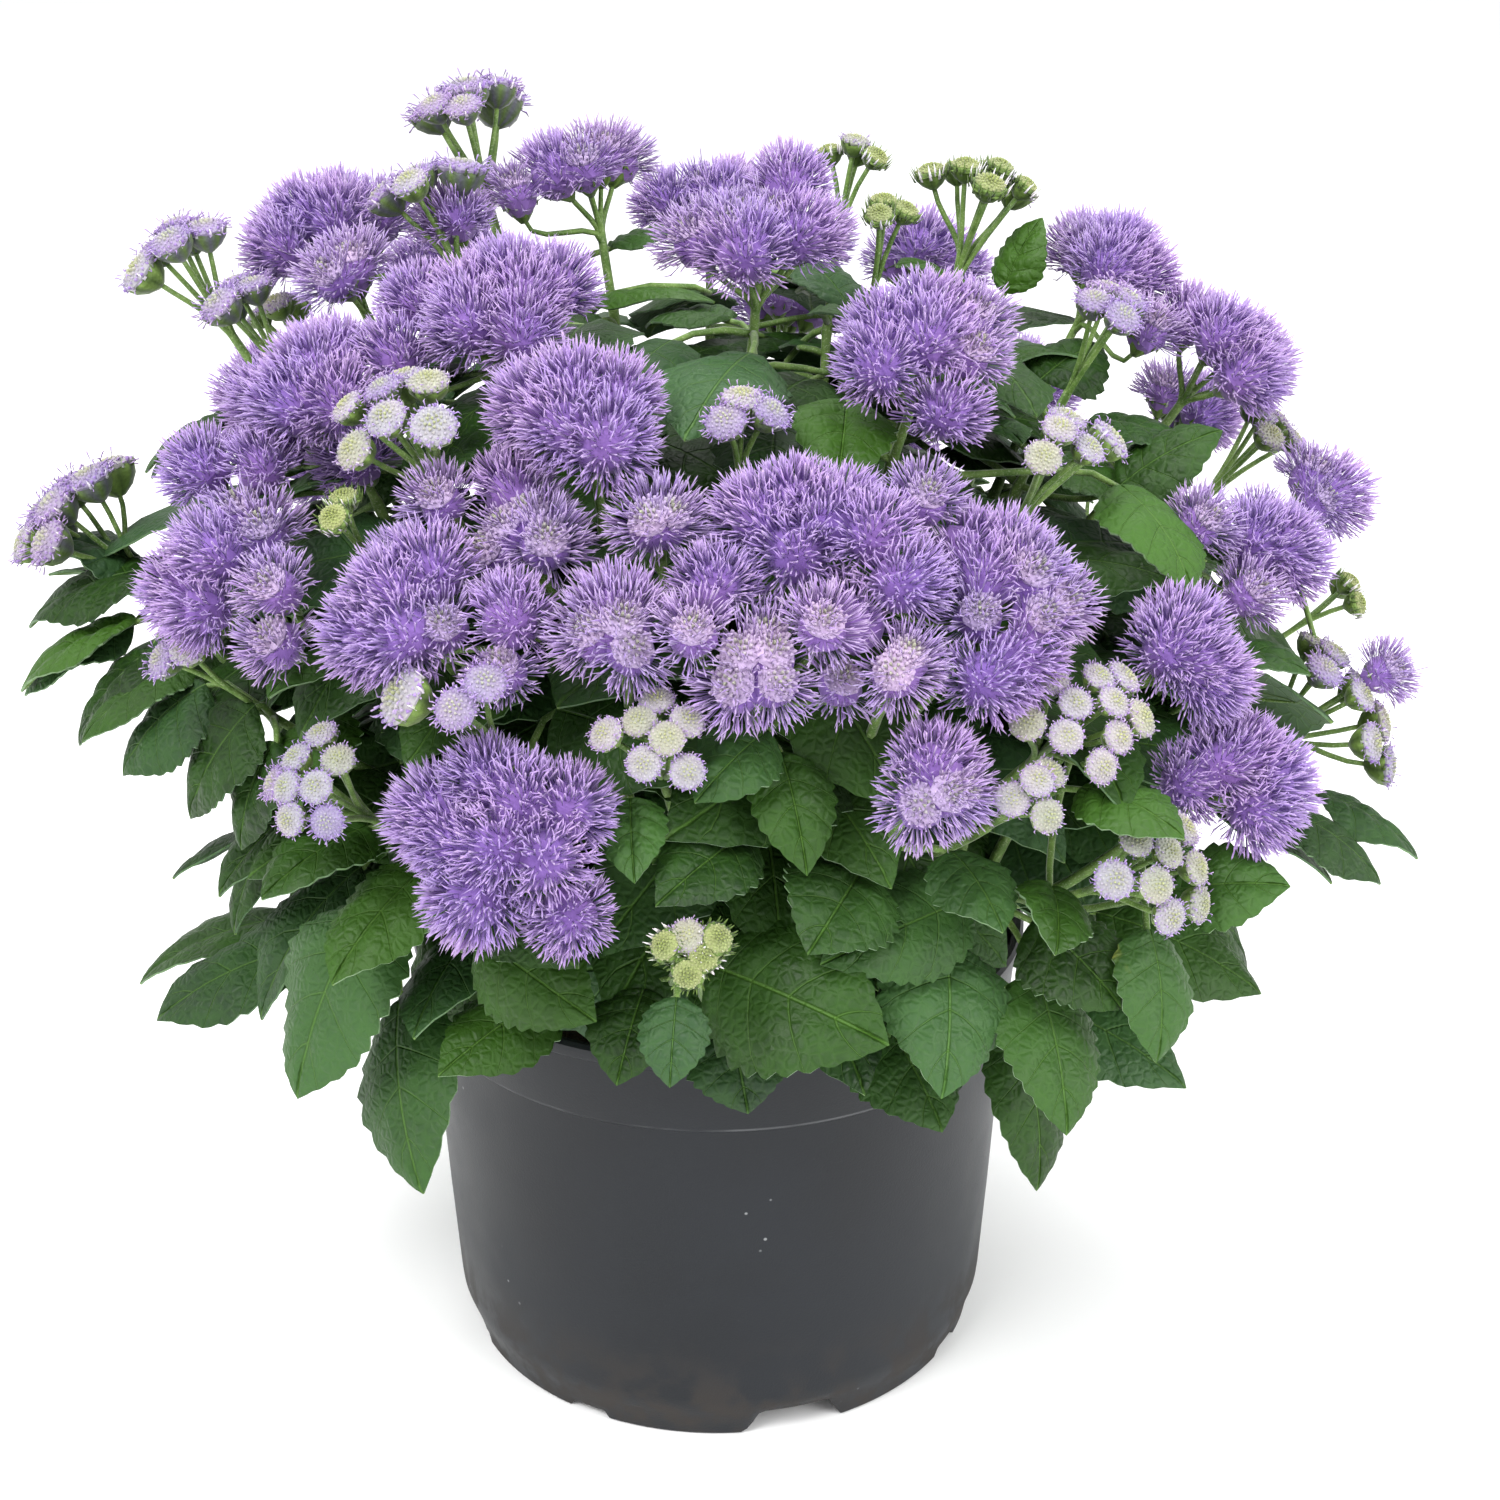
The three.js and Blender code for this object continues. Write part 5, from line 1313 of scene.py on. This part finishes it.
def add_cup(bm, rng, radius, depth, rim, bracts, bract_length, colours, steps=14):
    """The ribbed green cup under a head, with the tips of its bracts round the rim."""
    cup = new_plant_mesh()
    outline = [(0, -depth), (0.2 * radius, -depth), (0.62 * radius, -0.7 * depth),
               (0.92 * radius, -0.3 * depth), (radius, rim - 0.2), (0.9 * radius, rim), (0, rim - 0.1)]
    lathe(cup, outline, steps)
    layer = cup.verts.layers.float_color[SHADE]
    for vert in cup.verts:
        turn = math.atan2(vert.co.y, vert.co.x)
        rib = math.cos(steps / 2 * turn)
        vert.co.x *= 1 + 0.05 * rib
        vert.co.y *= 1 + 0.05 * rib
        vert[layer] = blend(colours[1], colours[0], 0.5 + 0.5 * rib)
    for face in cup.faces:
        face.material_index = CUP_SKIN
        face.smooth = True
    for k in range(bracts):
        turn = 2 * math.pi * (k + rng.uniform(-0.2, 0.2)) / bracts
        side = Vector((math.cos(turn), math.sin(turn), 0))
        at = side * radius * 0.97 + Vector((0, 0, rim - 0.35 * bract_length))
        way = side * rng.uniform(0.15, 0.5) + Vector((0, 0, 1))
        matrix = Matrix.Translation(at) @ Matrix.Rotation(turn, 4, "Z") @ Matrix.Rotation(
            math.atan2(way.xy.length, way.z), 4, "Y") @ Matrix.Diagonal((1, 1, bract_length, 1))
        added = add_copy(cup, BRACT, matrix)
        shade_verts(cup, added, blend(colours[0], colours[1], rng.uniform(0, 0.6)))
        for face in {face for vert in added for face in vert.link_faces}:
            face.material_index = CUP_SKIN
    absorb(bm, to_shape(cup, "cup"))


def add_pad(bm, radius, flat, rise, colour):
    """A rounded cushion that closes a head under its florets; returns its vertices."""
    pad = bmesh.ops.create_icosphere(bm, subdivisions=2, radius=radius)["verts"]
    bmesh.ops.scale(bm, vec=(1, 1, flat), verts=pad)
    lift(bm, pad, rise)
    shade_verts(bm, pad, colour)
    return pad


def add_heart(bm, rng, radius, rise):
    """The dense middle of a pompon, seen only between its threads."""
    for vert in add_pad(bm, radius, 1, rise, HEART_FLOSS):
        vert.co *= rng.uniform(*HEART_VARIES)


def add_pompon_cup(bm, rng, size):
    add_cup(bm, rng, radius=0.4 * size, depth=0.7 * size, rim=-0.3 * size, bracts=8, bract_length=1.6,
            colours=GREENS, steps=10)


def open_head(seed):
    """A fully open pompon: threads all round, over a dense heart."""
    bm, rng, size = new_plant_mesh(), random.Random(seed), FULL_HEAD
    add_threads(bm, rng, OPEN_THREADS, OPEN_ARC, radius=size, root=0.34 * size, rise=-0.2 * size,
                colours=FLOSS, waver=0.2)
    add_heart(bm, rng, radius=0.52 * size, rise=-0.06 * size)
    add_pompon_cup(bm, rng, size)
    return to_shape(bm, f"open_head_{seed}")


def half_open_head(seed):
    """A pompon whose middle florets are still closed, with a pale eye."""
    bm, rng, size = new_plant_mesh(), random.Random(seed), FULL_HEAD
    add_threads(bm, rng, HALF_OPEN_THREADS, HALF_OPEN_ARC, radius=size, root=0.36 * size,
                rise=-0.16 * size, colours=YOUNG_FLOSS, waver=0.18)
    add_threads(bm, rng, EYE_THREADS, EYE_ARC, radius=0.74 * size, root=0.3 * size, rise=0,
                colours=YOUNG_FLOSS, waver=0.1)
    add_eye(bm, rng, EYE_FLORETS, radius=0.4 * size, height=0.16 * size, rise=0.26 * size,
            colours=(EYE_GREY, EYE_LILAC, EYE_LILAC), size=1.15)
    add_pad(bm, radius=0.4 * size, flat=0.4, rise=0.2 * size, colour=EYE_LILAC)
    add_heart(bm, rng, radius=0.46 * size, rise=-0.12 * size)
    add_pompon_cup(bm, rng, size)
    return to_shape(bm, f"half_open_head_{seed}")


def bud_head(look, seed):
    """A closed head: florets like beads over a green cup; all but a green one have short threads."""
    bm, rng, size = new_plant_mesh(), random.Random(seed), BUD_HEAD
    green, lilac = look == "green", look == "lilac"
    colours = BUD_COLOURS[look]
    radius = (0.8 if green else 0.98) * size
    florets, floret_size = (GREEN_BUD_FLORETS, 0.9) if green else (BUD_FLORETS, 1.0)
    add_eye(bm, rng, florets, radius - 0.3, height=0.3 * size, rise=0.14 * size, colours=colours,
            size=floret_size)
    reach = (1.28 if lilac else 1.14) * size
    add_threads(bm, rng, FRINGE_THREADS[look], FRINGE_ARC, reach, root=0.72 * size, rise=0,
                colours=YOUNG_FLOSS, waver=0.2, slim=0.85)
    add_pad(bm, radius - 0.2, flat=0.34, rise=0.12 * size, colour=blend(colours[1], CUP_LIGHT, 0.25))
    bracts, bract_length = (14, 2.6) if green else (9, 1.5)
    add_cup(bm, rng, radius=0.86 * size, depth=0.85 * size, rim=0.08 * size, bracts=bracts,
            bract_length=bract_length, colours=LILAC_GREENS if lilac else GREENS)
    if green:
        add_cup(bm, rng, radius=0.94 * size, depth=0.5 * size, rim=-0.1 * size, bracts=12,
                bract_length=2.4, colours=GREENS, steps=10)
    return to_shape(bm, f"bud_head_{look}_{seed}")


OPEN_HEADS = [open_head(seed) for seed in (11, 12, 13, 14)]
HALF_OPEN_HEADS = [half_open_head(seed) for seed in (21, 22, 23)]
BUD_HEADS = {look: [bud_head(look, seed) for seed in (31, 32)] for look in BUD_COLOURS}
NEIGHBOUR_LOOKS = {
    "white": ("cream", "lilac"), "cream": ("white", "white"),
    "lilac": ("white", "lilac"), "green": ("green", "cream"),
}


# ---------------------------------------------------------------- stalks

def add_tubes(bm, runs, skin):
    """Round stalks along runs of points, each point with its radius."""
    curve = bpy.data.curves.new("stalks", "CURVE")
    curve.dimensions = "3D"
    curve.bevel_depth = 1.0
    curve.bevel_resolution = 1
    curve.use_fill_caps = True
    for points, radii in runs:
        spline = curve.splines.new("POLY")
        spline.points.add(len(points) - 1)
        for point, at, radius in zip(spline.points, points, radii):
            point.co = (*at, 1)
            point.radius = radius
    holder = bpy.data.objects.new("stalks", curve)
    shape = bpy.data.meshes.new_from_object(holder)
    bpy.data.objects.remove(holder)
    bpy.data.curves.remove(curve)
    shape.materials.clear()
    tubes = bmesh.new()
    absorb(tubes, shape)
    bmesh.ops.remove_doubles(tubes, verts=tubes.verts[:], dist=1e-4)
    for face in tubes.faces:
        face.material_index = skin
        face.smooth = True
    absorb(bm, to_shape(tubes, "tubes"))


def stalk_run(curve, thickness, knots=(), steps=14):
    """Points along a stalk with its radius at each, swollen at its knots."""
    shares = sorted({*(k / steps for k in range(steps + 1)), *knots})
    radii = [thickness[0] + (thickness[1] - thickness[0]) * share for share in shares]
    radii = [radius * (KNOT_SWELL if share in knots else 1) for radius, share in zip(radii, shares)]
    return [curve.at(share) for share in shares], radii


def pedicel_run(start, facing, head, entry):
    """A pedicel from its branch to a head."""
    end = head["at"] - entry * head["size"] * head["axis"]
    reach = np.linalg.norm(end - start)
    curve = Sweep(start, start + 0.4 * reach * facing, end - 0.4 * reach * head["axis"],
                  end + 0.1 * head["size"] * head["axis"])
    return stalk_run(curve, PEDICEL_THICKNESS, steps=6)


# ---------------------------------------------------------------- leaves

class Blade:
    """The shape of one leaf: where each point of it lies, across from -1 to 1 and along from 0 to 1."""

    def __init__(self, spec, seed):
        rng = random.Random(seed)
        ahead = spec["tip"] - spec["base"]
        self.base = spec["base"]
        self.length = np.linalg.norm(ahead)
        self.ahead = ahead / self.length
        self.inner = "inner" in spec
        outward, upward = INNER_FACING if self.inner else BLADE_FACING
        facing = outward * unit(spec["base"] - HEART) + upward * UP
        self.side = unit(np.cross(self.ahead, facing))
        self.over = np.cross(self.side, self.ahead)
        self.width = spec["width"] * BLADE_SWELL
        if spec["large"]:
            self.teeth = 12 if spec["width"] > 16 else 9
            self.grid = LARGE_GRID
        else:
            self.teeth = 8
            self.grid = INNER_GRID if self.inner else SMALL_GRID
        self.fold = rng.uniform(*FOLD)
        self.curl = rng.uniform(*CURL)
        self.wave = rng.uniform(*WAVE)
        self.phase = rng.uniform(0, SPIN)
        # a blade's brightness: random on large outer leaves, and painted darker on small and inner ones
        # as painted shade
        light = rng.random()
        light *= 1.0 if spec["large"] and not self.inner else INNER_PAINTED_SHADE
        # its masks: brightness, yellowing, and how far it turns grey-green, partly its own tone and
        # partly a painted sheen
        self.shade = (light, self.ageing(rng), rng.random(), 1.0)

    def ageing(self, rng):
        """How yellow a blade turns: only a few low ones do, in patches."""
        return MOST_YELLOW * rng.random() ** 8 if self.base[2] < OLD_BELOW else 0.0

    def at(self, across, row):
        """A point of the blade: arched, folded on its midrib, waved, quilted and toothed at its edge."""
        share = row**ROW_EASE
        half = self.width * half_width(share)
        part = abs(across)
        notch = (row * self.teeth) % 1.0
        tooth = TOOTH_DEPTH * (math.sin(math.pi * notch**1.4) - 0.55) * part**6
        sideways = half * across * (1 + tooth)
        onward = self.length * (share + 0.5 * share * (1 - share) * part**1.3)
        rise = self.length * share * (1 - share) * (4 * LEAF_ARCH + LEAF_DROOP)
        rise += half * (self.fold * part - 0.4 * part * part)
        rise -= self.length * self.curl * share**3
        rise += half * self.wave * part**3 * math.sin(9 * row + self.phase + (1.3 if across > 0 else 0))
        bulge = (row - VEIN_SLANT * part) * VEIN_PAIRS % 1.0
        rise += QUILT * math.sin(math.pi * bulge) * min(1, 4 * part) * (1 - part**3) * min(1, half / 3)
        return self.base + onward * self.ahead + sideways * self.side + (rise + 0.5) * self.over


def add_blade(bm, blade):
    """A toothed blade as a thin closed sheet, with its own lengthwise and across places."""
    columns, rows_a_tooth = blade.grid
    sheet = new_plant_mesh()
    bmesh.ops.create_grid(sheet, x_segments=2 * columns, y_segments=rows_a_tooth * blade.teeth,
                          size=0.5, calc_uvs=True)
    shade_verts(sheet, sheet.verts, blade.shade)
    for vert in sheet.verts:
        vert.co = blade.at(2 * vert.co.x, min(1.0, max(0.0, vert.co.y + 0.5)))
    bmesh.ops.remove_doubles(sheet, verts=sheet.verts[:], dist=0.02)
    sheet.normal_update()
    if sum(face.normal.dot(Vector(blade.over)) for face in sheet.faces) < 0:
        bmesh.ops.reverse_faces(sheet, faces=sheet.faces[:])
    uppers = set(sheet.faces)
    bmesh.ops.solidify(sheet, geom=sheet.faces[:], thickness=BLADE_THICKNESS)
    for face in sheet.faces:
        face.material_index = UPPER_SKIN if face in uppers else UNDER_SKIN
    smooth(sheet, BLADE_CREASE)
    absorb(bm, to_shape(sheet, "blade"))


def petiole_run(spec, blade):
    """The petiole from its knot to the blade, running on under it as the midrib."""
    reach = np.linalg.norm(spec["base"] - spec["at"])
    curve = Sweep(spec["at"], spec["at"] + 0.3 * reach * spec["way"],
                  spec["base"] - 0.25 * reach * blade.ahead, spec["base"])
    points, radii = stalk_run(curve, PETIOLE_THICKNESS, steps=3 if blade.inner else 6)
    for share, radius in MIDRIB[::2] if blade.inner else MIDRIB:
        points.append(blade.at(0, share ** (1 / ROW_EASE)) - (0.35 + 0.4 * radius) * blade.over)
        radii.append(radius)
    return points, radii


# ---------------------------------------------------------------- shoots and blooms

def add_foliage(bm, shoot, index):
    """A shoot's stem, branches, pedicels and leaves."""
    runs = [stalk_run(shoot["stem"].curve, STEM_THICKNESS, shoot["stem"].knots)]
    for cluster, branch, heads in zip(shoot["clusters"], shoot["branches"], shoot["heads"]):
        runs.append(stalk_run(branch.curve, BRANCH_THICKNESS, branch.knots, 12))
        if not cluster["open"]:
            facing = bearings(cluster["at"])[0]
            for k, head in enumerate(heads):
                start = branch.curve.at(1 - PEDICEL_SPREAD * chance(k, index))
                runs.append(pedicel_run(start, facing, head, BUD_ENTRY))
    for k, spec in enumerate(shoot["leaves"]):
        blade = Blade(spec, 100 * index + k)
        add_blade(bm, blade)
        runs.append(petiole_run(spec, blade))
    add_tubes(bm, runs, STEM_SKIN)


def add_buds(bm, cluster, heads, seed):
    """Closed heads, a few of them riper or greener than the rest."""
    rng = random.Random(seed)
    for head in heads:
        look = cluster["look"]
        if rng.random() < ODD_BUDS:
            look = rng.choice(NEIGHBOUR_LOOKS[look])
        swell = LILAC_SWELL if cluster["look"] == "lilac" else BUD_SWELL
        scale = max(head["size"], LEAST_BUD) / BUD_HEAD * swell
        matrix = standing(head["at"], head["axis"], rng.uniform(0, SPIN), (scale,) * 3)
        add_copy(bm, rng.choice(BUD_HEADS[look]), matrix)


def add_pompons(bm, cluster, heads, crowd, seed):
    """Open heads; threads that would end inside a neighbour are left out."""
    rng = random.Random(seed)
    strands = bm.verts.layers.int[STRAND]
    hidden = []
    for head in heads:
        half_open = rng.random() < cluster["look"]
        shape = rng.choice(HALF_OPEN_HEADS if half_open else OPEN_HEADS)
        scale = head["size"] / OPEN_HEAD * (YOUNG_SIZE if half_open else 1)
        matrix = standing(head["at"], head["axis"], rng.uniform(0, SPIN), (scale,) * 3)
        added = add_copy(bm, shape, matrix)
        apart = np.linalg.norm(crowd - head["at"], axis=1)
        others = crowd[(apart > 0.01) & (apart < 2 * FULL_HEAD)].reshape(-1, 3)
        threads = {}
        for vert in added:
            threads.setdefault(vert[strands], []).append(vert)
        threads.pop(0)
        for verts in threads.values():
            tip = np.array(verts[-1].co)
            if (np.linalg.norm(others - tip, axis=1) < HIDDEN_WITHIN * FULL_HEAD).any():
                hidden += verts
    bmesh.ops.delete(bm, geom=hidden, context="VERTS")


def make_shoot(shoot, index, finishes):
    """One piece for a shoot with its closed heads."""
    bm = new_plant_mesh()
    add_foliage(bm, shoot, index)
    for k, (cluster, heads) in enumerate(zip(shoot["clusters"], shoot["heads"])):
        if not cluster["open"]:
            add_buds(bm, cluster, heads, 500 + 10 * index + k)
    finish_piece(f"foliage_{shoot['name']}", bm, finishes, f"shoot_{shoot['name']}")


def make_bloom(cluster, branch, heads, crowd, seed, finishes):
    """One piece for a cluster of pompons on their pedicels."""
    bm = new_plant_mesh()
    add_pompons(bm, cluster, heads, crowd, seed)
    facing = bearings(cluster["at"])[0]
    start = branch.curve.at(1) - PEDICEL_START * facing
    add_tubes(bm, [pedicel_run(start, facing, head, POMPON_ENTRY) for head in heads], STEM_SKIN)
    finish_piece(f"pompons_{cluster['name']}", bm, finishes[:3], f"bloom_{cluster['name']}")


# ---------------------------------------------------------------- pot and soil

def foot_lift(turn):
    """Height of the foot's edge above the floor at a turn from the front, in degrees."""
    for spacing, width, top, height in ((0, ARCH_FOOT_WIDTH, ARCH_TOP_WIDTH, ARCH_HEIGHT),
                                        (45, NOTCH_WIDTH, NOTCH_WIDTH - 2, NOTCH_HEIGHT)):
        off = (turn - ARCH_TURN - spacing + 45) % 90 - 45
        beside = abs(FOOT_RADIUS * math.sin(math.radians(off)))
        slope = (width / 2 - beside) / ((width - top) / 2)
        if slope > 0:
            return height * min(1.0, slope)
    return 0.0


def make_pot(finish):
    """The pot's turned wall, with a rolled rim, a fine ledge and openings round its foot."""
    foot_inside = FOOT_RADIUS - 2 * WALL
    lip_under = POT_HEIGHT - LIP_HEIGHT
    lip_out = RIM_RADIUS + LIP
    inside = RIM_RADIUS - WALL
    shoulder_inside = SHOULDER_RADIUS - WALL
    outline = [
        (0, FLOOR_HEIGHT), (foot_inside - 0.6, FLOOR_HEIGHT),
        (foot_inside, FLOOR_HEIGHT - 0.5), (foot_inside, 0),
        (FOOT_RADIUS - 0.5, 0), (FOOT_RADIUS, 0.4), (FOOT_RADIUS + 0.5, 3), (FOOT_RADIUS + 1.3, 6),
        (SHOULDER_RADIUS - 0.2, SHOULDER_HEIGHT - 1), (SHOULDER_RADIUS, SHOULDER_HEIGHT + 1),
        (SHOULDER_RADIUS + 1.2, 30), (STEP_RADIUS - LEDGE, STEP_HEIGHT - 0.6),
        (STEP_RADIUS - 0.15, STEP_HEIGHT - 0.2), (STEP_RADIUS, STEP_HEIGHT + 0.2),
        (RIM_RADIUS - LIP, lip_under - LEDGE), (lip_out - 0.3, lip_under),
        (lip_out, lip_under + 0.5), (lip_out, POT_HEIGHT - 0.7), (lip_out - 0.6, POT_HEIGHT),
        (inside + 0.5, POT_HEIGHT), (inside, POT_HEIGHT - 0.5),
        (shoulder_inside, SHOULDER_HEIGHT + 2), (shoulder_inside - 2, FLOOR_HEIGHT + WALL),
        (0, FLOOR_HEIGHT + WALL),
    ]
    bm = bmesh.new()
    lathe(bm, outline, POT_STEPS)
    for vert in bm.verts:
        if vert.co.z < FLOOR_HEIGHT - 0.6 and vert.co.xy.length > FOOT_RADIUS - 2.5 * WALL:
            turn = math.degrees(math.atan2(vert.co.x, -vert.co.y))
            vert.co.z = max(vert.co.z, min(foot_lift(turn) + 0.08 * vert.co.z, FLOOR_HEIGHT - 0.55))
    smooth(bm, POT_CREASE)
    return finish_piece("pot_wall", bm, [finish], "pot")


def cut_drains(pot):
    """Round drain holes through the raised floor."""
    bm = bmesh.new()
    for k in range(DRAIN_HOLES):
        turn = 2 * math.pi * k / DRAIN_HOLES
        at = Matrix.Translation((DRAIN_RING * math.cos(turn), DRAIN_RING * math.sin(turn), FLOOR_HEIGHT))
        add_cone(bm, DRAIN_SIDES, DRAIN_RADIUS, DRAIN_RADIUS, DRILL_DEPTH, at)
    bmesh.ops.scale(bm, vec=(MM, MM, MM), verts=bm.verts[:])
    cutter = place_object("drain_cutter", to_shape(bm, "drain_cutter"))
    cut = pot.modifiers.new("drains", "BOOLEAN")
    cut.object = cutter
    cut.operation = "DIFFERENCE"
    cut.solver = "EXACT"
    bpy.context.view_layer.update()
    result = bpy.data.meshes.new_from_object(pot.evaluated_get(bpy.context.evaluated_depsgraph_get()))
    pot.modifiers.clear()
    pot.data = result
    bpy.data.objects.remove(cutter)


def make_soil(finish):
    """Peat with an uneven top and loose crumbs."""
    rng = random.Random(7)
    edge = SHOULDER_RADIUS - WALL - SEAT
    slope = (RIM_RADIUS - SHOULDER_RADIUS) / (POT_HEIGHT - SHOULDER_HEIGHT)
    top = edge + slope * (SOIL_HEIGHT - SHOULDER_HEIGHT) - 0.3
    rings = [(top * k / SOIL_RINGS, SOIL_HEIGHT) for k in range(SOIL_RINGS, -1, -1)]
    outline = [(0, FLOOR_HEIGHT + WALL + SEAT), (edge - 2, FLOOR_HEIGHT + WALL + SEAT), *rings]
    bm = bmesh.new()
    lathe(bm, outline, SOIL_STEPS)
    for vert in bm.verts:
        if vert.co.z > SOIL_HEIGHT - 1:
            wave = math.sin(0.21 * vert.co.x + 1) * math.cos(0.17 * vert.co.y) + rng.uniform(-0.6, 0.6)
            vert.co.z += SOIL_SWELL * wave
    grain = bmesh.new()
    bmesh.ops.create_icosphere(grain, subdivisions=1, radius=1)
    crumb = to_shape(grain, "crumb")
    for _ in range(CRUMBS):
        turn, out = rng.uniform(0, SPIN), top * 0.97 * math.sqrt(rng.random())
        at = (out * math.cos(turn), out * math.sin(turn), SOIL_HEIGHT + rng.uniform(-0.2, 0.9))
        way = (rng.uniform(-1, 1), rng.uniform(-1, 1), rng.uniform(0.2, 1))
        size = rng.uniform(*CRUMB_SIZES)
        scale = (size, size * rng.uniform(0.6, 1), size * rng.uniform(0.5, 1.4))
        add_copy(bm, crumb, standing(at, way, 0, scale))
    finish_piece("peat_bed", bm, [finish], "soil")


# ---------------------------------------------------------------- studio

def make_studio():
    """A white floor under soft light from the front left, the right and above."""
    bm = bmesh.new()
    bmesh.ops.create_grid(bm, x_segments=8, y_segments=8, size=FLOOR_SIZE)
    ground = place_object("floor", to_shape(bm, "floor"))
    ground.data.materials.append(floor_finish())

    world = bpy.data.worlds.new("studio")
    world.use_nodes = True
    sky = world.node_tree.nodes["Background"]
    sky.inputs["Color"].default_value = (0.99, 0.995, 1.0, 1)
    sky.inputs["Strength"].default_value = 1.0
    bpy.context.scene.world = world
    bpy.context.scene.view_settings.view_transform = "Standard"

    for name, at, size, power in LAMPS:
        lamp = bpy.data.lights.new(name, "AREA")
        lamp.size = size
        lamp.energy = power
        holder = place_object(name, lamp)
        holder.location = at
        holder.rotation_euler = (Vector(LAMPS_AIM) - Vector(at)).to_track_quat("-Z", "Y").to_euler()

    camera = bpy.data.cameras.new("camera")
    camera.sensor_width = SENSOR
    camera.lens = LENS
    viewer = place_object("camera", camera)
    viewer.location = CAMERA_AT
    viewer.rotation_euler = (math.radians(CAMERA_PITCH), 0, 0)
    bpy.context.scene.camera = viewer


# ---------------------------------------------------------------- assembly

def joining_heads(cluster):
    """The pompons that fill the gap from this cluster to its neighbours."""
    joined = JOINING.get(cluster["name"], ()) if cluster["open"] else ()
    places = [np.array(place, float) for place in joined]
    return [{"at": at, "axis": bearings(at)[0], "size": OPEN_HEAD * (0.88 + 0.12 * chance(k, at[0]))}
            for k, at in enumerate(places)]


def make_plant():
    """Lay out every shoot with its heads and leaves, then make its pieces."""
    shoots = [lay_out(index, *row) for index, row in enumerate(SHOOTS)]
    add_leaves(shoots)
    for shoot in shoots:
        for cluster, heads in zip(shoot["clusters"], shoot["heads"]):
            heads += joining_heads(cluster)
    add_inner_leaves(shoots)
    crowd = np.array([head["at"] for shoot in shoots
                      for cluster, heads in zip(shoot["clusters"], shoot["heads"])
                      for head in heads if cluster["open"]])
    finishes = [floret_finish(), cup_finish(), stem_finish(), leaf_finish(), underside_finish()]
    for index, shoot in enumerate(shoots):
        make_shoot(shoot, index, finishes)
        for k, cluster in enumerate(shoot["clusters"]):
            if cluster["open"]:
                make_bloom(cluster, shoot["branches"][k], shoot["heads"][k], crowd, 10 * index + k,
                           finishes)


make_plant()
cut_drains(make_pot(pot_finish()))
make_soil(peat_finish())
make_studio()
